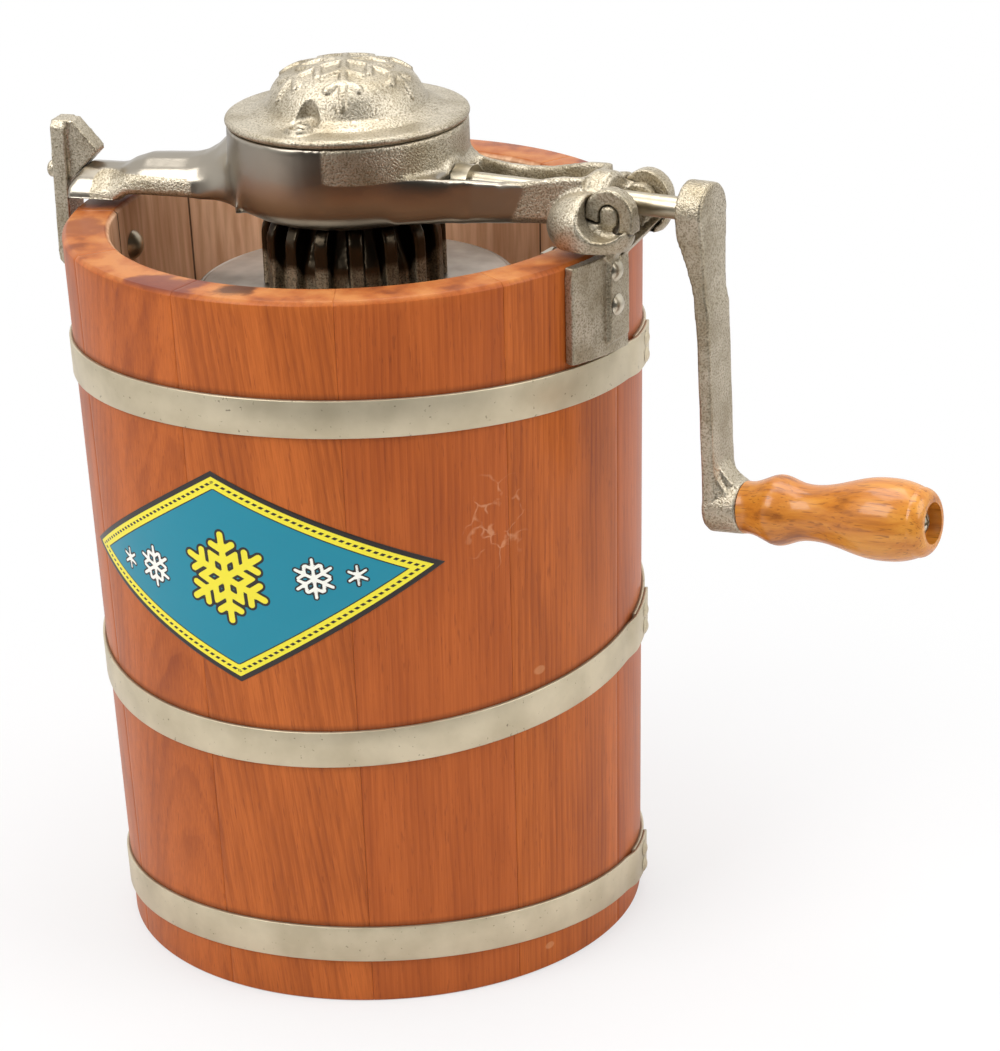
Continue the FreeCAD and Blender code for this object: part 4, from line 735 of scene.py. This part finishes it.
@dataclass
class Studio:
    """Pale floor, white surround and large soft lamps.

    Attributes:
        shadow_reach: metres from the tub over which the floor turns white for the camera.
        mirror_end: metres towards the camera over which mirrors see the floor go dark.
    """

    shadow_reach: tuple[float, float] = (0.14, 0.46)
    mirror_end: tuple[float, float] = (0.55, 0.85)
    floor_colour: str = "#E4E2E2"
    floor_radii: tuple[float, ...] = (0.0, 400.0, 3000.0)
    white: tuple[float, ...] = (1.0, 1.0, 1.0, 1.0)

    def build(self) -> None:
        """Makes the floor, the world and the lamps."""
        self.floor()
        self.world()
        self.lamp("key_softbox", (-900, -700, 1300), 900, 14.0)
        self.lamp("fill_softbox", (1000, -500, 900), 800, 7.0)
        self.lamp("top_softbox", (0, 200, 1600), 1000, 12.0)

    def floor(self) -> None:
        """Floor disc that keeps the shadow near the tub and fades to white for the camera.

        Mirrored rays see it end in the dark of the room, well in front of the tub.
        """
        material, tree, shader = blank_material("studio_floor")
        feed(shader, {"Base Color": self.floor_colour, "Roughness": 0.9, "Specular IOR Level": 0.1})
        path = add(tree, "LightPath").outputs
        place = add(tree, "TexCoord").outputs["Object"]
        far = add(tree, "VectorMath LENGTH", {0: place})
        white = add(tree, "Emission", {"Color": self.white, "Strength": 1.0})
        fade = add(tree, "MapRange", {0: far, 1: self.shadow_reach[0], 2: self.shadow_reach[1], 3: 0.6},
                   interpolation_type="SMOOTHSTEP")
        part = add(tree, "Math MULTIPLY", {0: fade, 1: path["Is Camera Ray"]})
        seen = add(tree, "MixShader", {0: part, 1: shader, 2: white})
        a = math.radians(SHAFT_TURN)
        toward = add(tree, "VectorMath DOT_PRODUCT", {0: place, 1: (math.sin(a), -math.cos(a), 0.0)})
        gone = add(tree, "MapRange", {0: toward, 1: self.mirror_end[0], 2: self.mirror_end[1]},
                   interpolation_type="SMOOTHSTEP")
        gone = add(tree, "Math MULTIPLY", {0: gone, 1: path["Is Glossy Ray"]})
        night = add(tree, "Emission", {"Color": self.white, "Strength": 0.03})
        whole = add(tree, "MixShader", {0: gone, 1: seen, 2: night})
        feed(tree.nodes["Material Output"], {"Surface": whole})
        angle = np.linspace(0.0, 2 * np.pi, 97)[:-1]
        points = round_axis(np.array(self.floor_radii)[:, None], angle, -0.2)
        floor = put_mesh("studio_floor", points, grid_faces(*points.shape[:2]), material)

    def world(self) -> None:
        """White surround for the camera, dark towards the camera in mirrors, and even light."""
        world = bpy.data.worlds.new("studio_surround")
        bpy.context.scene.world = world
        world.use_nodes = True
        tree = world.node_tree
        tree.nodes.clear()
        path = add(tree, "LightPath").outputs
        facing = add(tree, "TexCoord").outputs["Generated"]
        a = math.radians(SHAFT_TURN)
        toward = add(tree, "VectorMath DOT_PRODUCT", {0: facing, 1: (math.sin(a), -math.cos(a), 0.15)})
        shade = add(tree, "MapRange", {0: toward, 1: 0.10, 2: 0.70, 3: 1.0, 4: 0.04})
        seen = add(tree, "Background", {"Color": self.white, "Strength": 1.0})
        glossy = add(tree, "Background", {"Color": self.white, "Strength": shade})
        light = add(tree, "Background", {"Color": self.white, "Strength": 0.55})
        mirror = add(tree, "MixShader", {0: path["Is Glossy Ray"], 1: light, 2: glossy})
        clear = add(tree, "Math MAXIMUM", {0: path["Is Camera Ray"], 1: path["Is Transmission Ray"]})
        both = add(tree, "MixShader", {0: clear, 1: mirror, 2: seen})
        add(tree, "OutputWorld", {"Surface": both})

    def lamp(self, name: str, place: tuple[float, float, float], size: float, power: float) -> None:
        """Adds a square soft lamp aimed at the tub.

        Args:
            name: the lamp's name.
            place: right, away and up from the tub, seen from the camera.
            size: side of the square.
            power: watts.
        """
        data = bpy.data.lights.new(name, "AREA")
        data.size = size * MM
        data.energy = power
        lamp = link_new(name, data)
        spot = Matrix.Rotation(math.radians(SHAFT_TURN), 4, "Z") @ (Vector(place) * MM)
        aim = Vector((0.0, 0.0, 0.2)) - spot
        lamp.matrix_world = Matrix.Translation(spot) @ aim.to_track_quat("-Z", "Y").to_matrix().to_4x4()


@dataclass
class Board:
    """How one stave was cut from its log.

    Attributes:
        red: share of the redder stain.
        across: the pith's place beside the stave.
        depth: the pith's place behind the stave's outside.
        lean: how far the pith drifts beside the stave over its height.
        taper: how far the pith drifts behind the stave over its height.
    """

    red: float
    across: float
    depth: float
    lean: float = 0.0
    taper: float = 0.0


@dataclass
class Tub:
    """Eleven staves round the axis, with a chamfered rim, and the hoops that hold them.

    Attributes:
        first_joint: azimuth of the first stave's start.
        chamfer: what is cut off the rim's corners, and foot_cut off the foot's.
        edge: rounding of every corner.
        drain: the drain's azimuth, height and radius.
        hoops: each hoop's middle height and its tilts along X and Y in degrees.
        lap: azimuths of a hoop's start and of its end, which lies over it.
        soft: rounding of a hoop's corners, and nick how far the rounding's middle is set in.
        flat_radius: radius at which a board's grain is laid out flat.
        board_gap: how far apart the boards' grain lies in the pattern.
    """

    height: float = 333.2
    rim: float = 130.0
    foot: float = 120.9
    wall: float = 20.8
    first_joint: float = -28.8
    chamfer: float = 1.8
    foot_cut: float = 0.8
    edge: float = 0.35
    drain: tuple[float, float, float] = (118.5, 235.0, 9.5)
    hoop_width: float = 17.0
    hoop_thickness: float = 1.6
    hoops: dict = field(default_factory=lambda: {"top": (275.1, 0.5, -2.8), "middle": (138.7, -0.4, 5.9),
                                                 "bottom": (19.8, 1.5, -4.4)})
    lap: tuple[float, float] = (13.0, 25.0)
    soft: float = 0.45
    nick: float = 0.13
    flat_radius: float = 125.0
    board_gap: float = 700.0
    boards: list = field(default_factory=lambda: [
        Board(0.10, 75.0, 20.0, 4.0, 2.0), Board(0.35, -60.0, 40.0, -6.0, 8.0),
        Board(0.15, 20.0, 70.0, 5.0, 24.0), Board(0.45, -35.0, 55.0, 0.0, 18.0),
        Board(0.25, 80.0, 15.0, 5.0, 0.0), Board(0.50, 5.0, 60.0, -8.0, 30.0),
        Board(0.15, -70.0, 30.0, 6.0, 4.0), Board(0.25, 30.0, 60.0, 10.0, 22.0),
        Board(0.22, 12.0, 46.0, 22.0, 34.0), Board(0.12, -48.0, 40.0, -26.0, 12.0),
        Board(0.38, 92.0, 16.0, 3.0, 3.0)])

    def radius(self, z: np.ndarray) -> np.ndarray:
        """Outside radius at a height, on a straight taper."""
        return self.foot + (self.rim - self.foot) * z / self.height

    def slopes(self) -> list[tuple[float, float, float]]:
        """Each hoop's middle height and the tangents of its two slopes."""
        return [(middle, math.tan(math.radians(x)), math.tan(math.radians(y)))
                for middle, x, y in self.hoops.values()]

    def build(self) -> None:
        """Makes the staves and hoops and dresses the bottom boards."""
        cedar = StainedCedar().make(self.slopes(), self.hoop_width / 2)
        for number in range(len(self.boards)):
            piece = self.stave(number, cedar)
            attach(piece, "tub")
            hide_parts("stave_%02d" % (number + 1))
        strip = GalvanisedStrip().make()
        for name in self.hoops:
            piece = self.hoop(name, strip)
            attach(piece, "tub")
            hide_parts("hoop_" + name)
        dress("hoop_rivets", strip)
        boards = BareWood("bare_pine", "#C79668", "#9C6B42").make()
        for number in (1, 2, 3):
            dress("bottom_board_%d" % number, boards)

    def stave(self, number: int, material: Material) -> Object:
        """Makes one stave.

        The section at height z is two arcs about the axis, out along radius R(z) and back along
        R(z) minus the wall, both over the stave's share of the circle. Near the rim and the foot
        both arcs step towards each other by the chamfer.
        """
        step = 2 * np.pi / len(self.boards)
        start = math.radians(self.first_joint) + number * step
        turn = np.linspace(0.0, 1.0, 29)
        z = np.concatenate([[0.0, self.foot_cut], np.linspace(6.0, self.height - 6.0, 49),
                            [self.height - self.chamfer, self.height]])
        cut = np.zeros_like(z)
        cut[0], cut[-1] = self.foot_cut, self.chamfer
        angle = start + step * np.concatenate([turn, turn[::-1]])
        outer = np.arange(len(angle)) < len(turn)
        big = self.radius(z)[:, None]
        rho = np.where(outer, big - cut[:, None], big - self.wall + cut[:, None])
        points = round_axis(rho, angle, z[:, None])
        piece = put_mesh("cedar_stave_%02d" % (number + 1), points, capped_faces(*rho.shape), material)
        if (math.radians(self.drain[0]) - start) % (2 * np.pi) < step:
            self.pierce(piece)
        self.tag(piece, number, start + step / 2)
        bevel = piece.modifiers.new("eased_edges", "BEVEL")
        bevel.width = self.edge * MM
        bevel.segments = 2
        bevel.limit_method = "ANGLE"
        bevel.angle_limit = math.radians(40)
        bevel.harden_normals = False
        return piece

    def pierce(self, piece: Object) -> None:
        """Cuts the round drain through a stave, with a cylinder along the drain's direction."""
        azimuth, height, radius = self.drain
        way = math.radians(azimuth)
        turn = np.linspace(0, 2 * np.pi, 65)[:-1]
        side = np.array([-math.sin(way), math.cos(way), 0.0])
        out = np.array([math.cos(way), math.sin(way), 0.0])
        up = np.array([0.0, 0.0, 1.0])
        ring = radius * (np.cos(turn)[:, None] * side + np.sin(turn)[:, None] * up)
        points = np.stack([ring + out * reach + up * height for reach in (90, 150)])
        ends = [list(range(64))[::-1], list(range(64, 128))]
        mesh = bpy.data.meshes.new("drain_cutter")
        mesh.from_pydata((points.reshape(-1, 3) * MM).tolist(), [], grid_faces(2, 64).tolist() + ends)
        weld(mesh, 1e-4)
        cutter = link_new("drain_cutter", mesh)
        tool = piece.modifiers.new("drain", "BOOLEAN")
        tool.object = cutter
        tool.solver = "EXACT"
        settle(piece)
        bpy.data.objects.remove(cutter)

    def tag(self, piece: Object, number: int, middle: float) -> None:
        """Stores where each point lies in its board, for the grain.

        The grain vector is the place across, through and along the board, measured from the pith.
        """
        board = self.boards[number]
        x, y, z = points_of(piece).T
        rho = np.hypot(x, y)
        away = (np.arctan2(y, x) - middle + np.pi) % (2 * np.pi) - np.pi
        share = z / self.height
        depth = self.radius(z) - rho
        grain = np.stack([away * self.flat_radius - board.across - board.lean * share,
                          depth - board.depth - board.taper * share, z + self.board_gap * number], axis=-1)
        tag_points(piece, grain=grain, tone=np.full(len(z), board.red),
                   rim=smooth_step(z, self.height - 2.2, self.height - 0.3), skin=depth / self.wall,
                   seam=(np.pi / len(self.boards) - np.abs(away)) * rho)

    def hoop(self, name: str, material: Material) -> Object:
        """Makes one hoop as a strip whose end laps over its start.

        At azimuth t the strip's middle lies on the tub's cone and on the hoop's tilted plane. The
        section is a thin rectangle with rounded corners, square to the cone. Over the last part of
        the turn it climbs by one thickness onto its own start.
        """
        middle, slope_x, slope_y = self.slopes()[list(self.hoops).index(name)]
        start = math.radians(self.lap[0])
        end = math.radians(self.lap[1]) + 2 * np.pi
        t = np.linspace(start, end, 420)
        k = slope_x * np.cos(t) + slope_y * np.sin(t)
        g = (self.rim - self.foot) / self.height
        z = (middle + k * self.foot) / (1 - k * g)
        climb = smooth_step(t, start + 2 * np.pi - 0.10, start + 2 * np.pi - 0.004) * self.hoop_thickness
        half, deep, soft, nick = self.hoop_width / 2, self.hoop_thickness, self.soft, self.nick
        section = np.array([
            (0.0, -half), (deep - soft, -half), (deep - nick, nick - half), (deep, soft - half), (deep, 0.0),
            (deep, half - soft), (deep - nick, half - nick), (deep - soft, half), (0.0, half), (0.0, 0.0)])
        out, up = section.T
        rho = self.radius(z)[:, None] + g * up + climb[:, None] + out
        points = round_axis(rho, t[:, None], z[:, None] + up)
        piece = put_mesh("galvanised_hoop_" + name, points, capped_faces(*rho.shape), material)
        piece.data.shade_smooth()
        return piece


def crystal(x: np.ndarray, y: np.ndarray, arm: float, twigs: tuple) -> np.ndarray:
    """Distance of each point of a plane from the bars of a six-armed snow crystal.

    The plane is folded into one twelfth of the circle. There the crystal is one straight bar
    along the arm and two or more that branch off it at sixty degrees.

    Args:
        x: places along one arm.
        y: places across it.
        arm: the arms' length.
        twigs: where each branch leaves the arm, and its length.

    Returns:
        The distances.
    """
    share = np.pi / 3
    angle = np.abs((np.arctan2(y, x) + share / 2) % share - share / 2)
    radius = np.hypot(x, y)
    u, v = radius * np.cos(angle), radius * np.sin(angle)
    distance = np.hypot(u - np.clip(u, 0.0, arm), v)
    for root, length in twigs:
        along = np.clip((u - root) * 0.5 + v * 0.866, 0.0, length)
        distance = np.minimum(distance, np.hypot(u - root - along * 0.5, v - along * 0.866))
    return distance


@dataclass
class Label:
    """Printed paper lozenge pasted round the front of the tub."""

    azimuth: float = -86.9
    height: float = 205.0
    half_angle: float = 44.4
    half_height: float = 49.2
    slant: float = 4.2
    thickness: float = 0.3

    def build(self, tub: Tub) -> None:
        """Makes the sheet.

        Flattened, the label is a lozenge with its corners at plus and minus half its width and
        height. Each of its points is turned by the slant and laid round the tub's cone.
        """
        around = tub.radius(self.height)
        wide = around * math.radians(self.half_angle)
        deep = wide * self.half_height / math.hypot(wide, self.half_height)
        share = np.linspace(-1, 1, 151)
        s, t = np.meshgrid(share, share, indexing="ij")
        u, v = (s + t) / 2 * wide, (s - t) / 2 * self.half_height
        a = math.radians(self.slant)
        arc, rise = u * math.cos(a) - v * math.sin(a), u * math.sin(a) + v * math.cos(a)
        turn = math.radians(self.azimuth) + arc / around
        z = self.height + rise
        rho = tub.radius(z) + self.thickness
        faces = grid_faces(len(share), len(share), closed=False)
        piece = put_mesh("paper_label", round_axis(rho, turn, z), faces, PrintedPaper().make(deep), 0.0)
        edge = (1 - np.maximum(np.abs(s), np.abs(t))) * deep
        run = np.where(np.abs(s) > np.abs(t), t, s) * math.hypot(wide, self.half_height) / 2
        large = crystal(v, u, 20.0, ((7.0, 8.0), (12.5, 6.0))) - 1.5
        near = crystal(v, np.abs(u) - 41.0, 9.0, ((4.5, 3.6),)) - 0.7
        far = crystal(v, np.abs(u) - 60.0, 4.4, ()) - 0.55
        tag_points(piece, edge=edge.ravel(), run=run.ravel() + 500.0, large=large.ravel(),
                   small=np.minimum(near, far).ravel())
        backing = piece.modifiers.new("paper_thickness", "SOLIDIFY")
        backing.thickness = self.thickness * 0.9 * MM
        backing.offset = -1.0
        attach(piece, "tub")
        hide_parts("label")


def dress(node: str, material: Material) -> None:
    """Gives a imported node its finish.

    Args:
        node: the node's name.
        material: the finish.
    """
    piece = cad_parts[node]
    piece.data.materials.clear()
    piece.data.materials.append(material)


@dataclass
class Casting:
    """A packed casting copied, rounded as a sand casting is, and given its plated skin.

    Attributes:
        node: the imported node.
        body: the body it moves with.
        voxel: grid of the remesh, which rounds every corner by about its size.
        easing: rounds of smoothing.
        lumps: height of the casting's unevenness.
        lump_size: width of its lumps.
    """

    node: str
    body: str
    voxel: float
    easing: int = 6
    lumps: float = 0.25
    lump_size: float = 4.5

    def build(self, material: Material, slot: str = "plated_casting") -> Object:
        """Makes the copy.

        Args:
            material: the finish.
            slot: not used.

        Returns:
            The new piece, which stands for the node.
        """
        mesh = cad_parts[self.node].data.copy()
        weld(mesh, 0.001, outwards=False)
        piece = link_new("cast_" + self.node, mesh)
        remesh = piece.modifiers.new("grid", "REMESH")
        remesh.mode = "VOXEL"
        remesh.voxel_size = self.voxel * MM
        remesh.use_smooth_shade = True
        ease = piece.modifiers.new("easing", "SMOOTH")
        ease.factor = 0.5
        ease.iterations = self.easing
        texture = bpy.data.textures.new("lumps_" + self.node, "CLOUDS")
        texture.noise_scale = self.lump_size * MM
        texture.noise_depth = 2
        lump = piece.modifiers.new("lumps", "DISPLACE")
        lump.texture = texture
        lump.texture_coords = "LOCAL"
        lump.strength = self.lumps * MM
        lump.mid_level = 0.5
        settle(piece)
        piece.data.materials.clear()
        piece.data.materials.append(material)
        piece.data.shade_smooth()
        tag_points(piece, polish=self.polish(points_of(piece)))
        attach(piece, self.body)
        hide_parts(self.node)
        log.info("%s: %d faces", piece.name, len(piece.data.polygons))
        return piece

    def polish(self, points: np.ndarray) -> np.ndarray:
        """Share of polish, or of painted shade on the lid gear, at each point: none on a plain casting."""
        return np.zeros(len(points))


@dataclass
class GearFrame(Casting):
    """The frame over the tub: its drum's front and the fronts of its arms were ground smooth.

    Attributes:
        root_in: radii over which the easing of the arms' roots comes in.
        root_out: radii over which it goes.
        root_top: heights over which it goes.
        root_rounds: its rounds of smoothing.
        drum_foot: height of the drum's rounded foot, with its radius and the centre's distance out.
        arm_floor: how far the arms' floor lies under the foot, and the radii over which it drops.
        floor_top: only points below this height are lifted to the floor.
        front: how far forward the grinding comes in.
        left: how far to the left it comes in also behind.
        lug_edge: where it ends towards the lugs, along X.
        lug_lean: how far that edge moves out for each step up from lug_level.
        rough_in: distances left over which the left arm's underside turns rough.
        rough_out: distances left over which it turns smooth again.
        rough_top: depths below the drum's foot over which the roughness comes in.
        ledge: heights and places along X over which the top of the right arm stays rough.
    """

    root_in: tuple[float, float] = (43.0, 47.0)
    root_out: tuple[float, float] = (60.0, 70.0)
    root_top: tuple[float, float] = (354.0, 362.0)
    root_rounds: int = 160
    drum_foot: tuple[float, float, float] = (350.0, 12.0, 42.0)
    arm_floor: tuple[float, float, float] = (3.06, 50.0, 68.0)
    floor_top: float = 346.0
    front: tuple[float, float] = (4.0, 12.0)
    left: tuple[float, float] = (30.0, 60.0)
    lug_edge: tuple[float, float] = (84.0, 98.0)
    lug_lean: float = 0.5
    lug_level: float = 345.0
    rough_in: tuple[float, float] = (62.0, 70.0)
    rough_out: tuple[float, float] = (112.0, 118.0)
    rough_top: tuple[float, float] = (-2.0, 3.0)
    ledge: tuple[float, float, float, float] = (359.0, 363.0, 12.0, 24.0)

    def build(self, material: Material, slot: str = "plated_casting") -> Object:
        """Makes the frame and lets the arms' undersides flow into the drum's rounded foot.

        Below the drum no point lies under the foot's quarter circle, and beyond it that limit
        falls away smoothly to the arms' floor.
        """
        piece = super().build(material, slot)
        points = points_of(piece)
        rho = np.hypot(points[:, 0], points[:, 1])
        root = smooth_step(rho, *self.root_in) * (1.0 - smooth_step(rho, *self.root_out))
        root = root * (1.0 - smooth_step(points[:, 2], *self.root_top))
        group = piece.vertex_groups.new(name="arm_roots")
        for index in np.flatnonzero(root > 0.02).tolist():
            group.add([index], float(root[index]), "REPLACE")
        ease = piece.modifiers.new("root_easing", "SMOOTH")
        ease.factor = 0.5
        ease.iterations = self.root_rounds
        ease.vertex_group = group.name
        settle(piece)
        points = points_of(piece)
        rho = np.hypot(points[:, 0], points[:, 1])
        level, bend, centre = self.drum_foot
        drop, inner, outer = self.arm_floor
        across = np.clip(rho - centre, 0.0, inner - centre)
        foot = level - np.sqrt(np.clip(bend ** 2 - across ** 2, 0.0, None))
        limit = foot - drop * smooth_step(rho, inner, outer)
        low = points[:, 2] < self.floor_top
        points[:, 2] = np.where(low, np.maximum(points[:, 2], limit), points[:, 2])
        move_points(piece, points)
        return piece

    def polish(self, points: np.ndarray) -> np.ndarray:
        """Smooth on the front and the left arm, rough above the right arm, at the boss and on the lugs."""
        x, y, z = points.T
        front = np.clip(smooth_step(-y, *self.front) + smooth_step(-x, *self.left), 0.0, 1.0)
        away = 1.0 - smooth_step(x - self.lug_lean * (z - self.lug_level), *self.lug_edge)
        ledge = 1.0 - smooth_step(z, *self.ledge[:2]) * smooth_step(x, *self.ledge[2:])
        under = smooth_step(-x, *self.rough_in) * smooth_step(self.drum_foot[0] - z, *self.rough_top)
        under = 1.0 - under * (1 - smooth_step(-x, *self.rough_out))
        return front * away * ledge * under


@dataclass
class LidGear(Casting):
    """The gear on the can's lid, with painted shade on all but the lower ends of its claws, which lie in the
    frame's shade.

    Attributes:
        shade_rise: heights over which the painted shade comes in.
        tooth: how deep the hollows between the claws are, and how far out they end.
        hollow_shade: share of painted shade in the hollows below that.
    """

    shade_rise: tuple[float, float] = (308.0, 330.0)
    tooth: tuple[float, float] = (5.0, 1.5)
    hollow_shade: float = 0.35

    def polish(self, points: np.ndarray) -> np.ndarray:
        """Painted shade over the upper part and in the hollows between the claws."""
        reach = np.hypot(points[:, 0], points[:, 1])
        outer = np.percentile(reach, 98)
        hollow = 1.0 - smooth_step(reach, outer - self.tooth[0], outer - self.tooth[1])
        # painted shade: darker higher up under the frame and in the hollows between the claws
        return np.clip(smooth_step(points[:, 2], *self.shade_rise) + self.hollow_shade * hollow, 0.0, 1.0)


@dataclass
class Cover(Casting):
    """The domed cover, with a snow crystal cast in relief on its top.

    Attributes:
        relief: height of the crystal.
        arm: length of its arms.
        twigs: where its branches leave an arm, and their lengths.
        bars: half widths of its bars at their top and at their foot.
        middle: height of a point inside the dome, which tells its outside from its inside.
        brim: height of the brim's top, where the dome starts.
        foot: height at which the crystal may start.
        apex: height of the top.
        drawn_in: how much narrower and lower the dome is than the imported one.
    """

    relief: float = 1.2
    arm: float = 33.0
    twigs: tuple = ((13.0, 10.0), (24.0, 8.0))
    bars: tuple[float, float] = (1.2, 2.1)
    middle: float = 370.0
    brim: float = 382.0
    foot: float = 386.0
    apex: float = 405.6
    drawn_in: float = 0.11

    def build(self, material: Material, slot: str = "plated_casting") -> Object:
        """Makes the cover, draws its dome in and raises the crystal on it, up to the apex and no higher."""
        piece = super().build(material, slot)
        points = points_of(piece)
        x, y, z = points.T
        normals = np.empty(len(points) * 3, dtype=np.float32)
        piece.data.vertices.foreach_get("normal", normals)
        normals = normals.reshape(-1, 3)
        radius = np.hypot(x, y)
        outwards = np.sum(normals * (points - [0.0, 0.0, self.middle]), axis=1) > 0
        outer = smooth_step(z, self.brim, self.foot) * outwards
        side = smooth_step(radius, 6.0, 18.0) * (1.0 - smooth_step(radius, 41.0, 44.0))
        narrow = 1.0 - self.drawn_in * outer * side
        x, y, z = x * narrow, y * narrow, z - self.drawn_in * outer * (z - self.brim)
        points = np.stack([x, y, z], axis=-1)
        radius = np.hypot(x, y)
        shape = 1.0 - smooth_step(crystal(x, y, self.arm, self.twigs), *self.bars)
        outside = (z > self.foot) & (normals[:, 2] > 0.15) & (radius < 39.0)
        lift = self.relief * shape * outside * smooth_step(z, self.foot, self.foot + 3.0)
        moved = points + normals * lift[:, None]
        moved[:, 2] = np.minimum(moved[:, 2], self.apex)
        move_points(piece, moved)
        return piece


def main() -> None:
    """Builds every sub-assembly in order."""
    logging.basicConfig(level=logging.INFO, format="%(message)s")
    bpy.context.scene.view_settings.view_transform = "Standard"
    Camera().place()
    Studio().build()
    Tub().build()
    Label().build(Tub())
    cast = PlatedCasting(Surface.SAND_CAST).make()
    # darker copy of the casting finish for the lid gear: its colours are painted shade, and its smooth
    # colour is the deepest shade
    shade_painted = PlatedCasting(Surface.GREASED, body="#9C927F", tarnish="#6E6350", deep="#2A241C",
                            smooth="#40382D").make()
    GearFrame("gear_frame", "tub", 1.0, lumps=0.10).build(cast)
    Cover("cover", "tub", 0.8, lumps=0.10).build(cast)
    Casting("ear", "tub", 0.6, lumps=0.16).build(cast)
    Casting("latch", "latch", 0.6, 4, 0.12).build(cast)
    Casting("crank_arm", "crank", 0.8, lumps=0.16).build(cast)
    LidGear("lid_gear", "can", 0.8, lumps=0.4).build(shade_painted, "tinned_casting")
    steel = SmoothMetal("plated_steel", "#C8BFAB", "#A79C86", 0.30).make()
    tin = SmoothMetal("tinned_sheet", "#BDB6AC", "#948D83", 0.38, 35.0).make()
    for node in ("ear_bolts", "ear_nuts", "latch_rivet", "cover_screws", "pivot_screws", "lid_rivets",
                 "crank_shaft", "pinion_pin", "shaft_collar", "collar_pin", "handle_screw", "scraper_pins",
                 "dasher_gear", "pinion"):
        dress(node, steel)
    for node in ("can_body", "can_lid", "can_socket", "pivot_plate", "dasher_frame", "beater"):
        dress(node, tin)
    scraper = BareWood("bare_maple", "#D2B184", "#A9835A").make()
    for node in ("scraper_front", "scraper_back"):
        dress(node, scraper)
    dress("handle_grip", TurnedMaple().make())


if __name__ == "__main__":
    main()
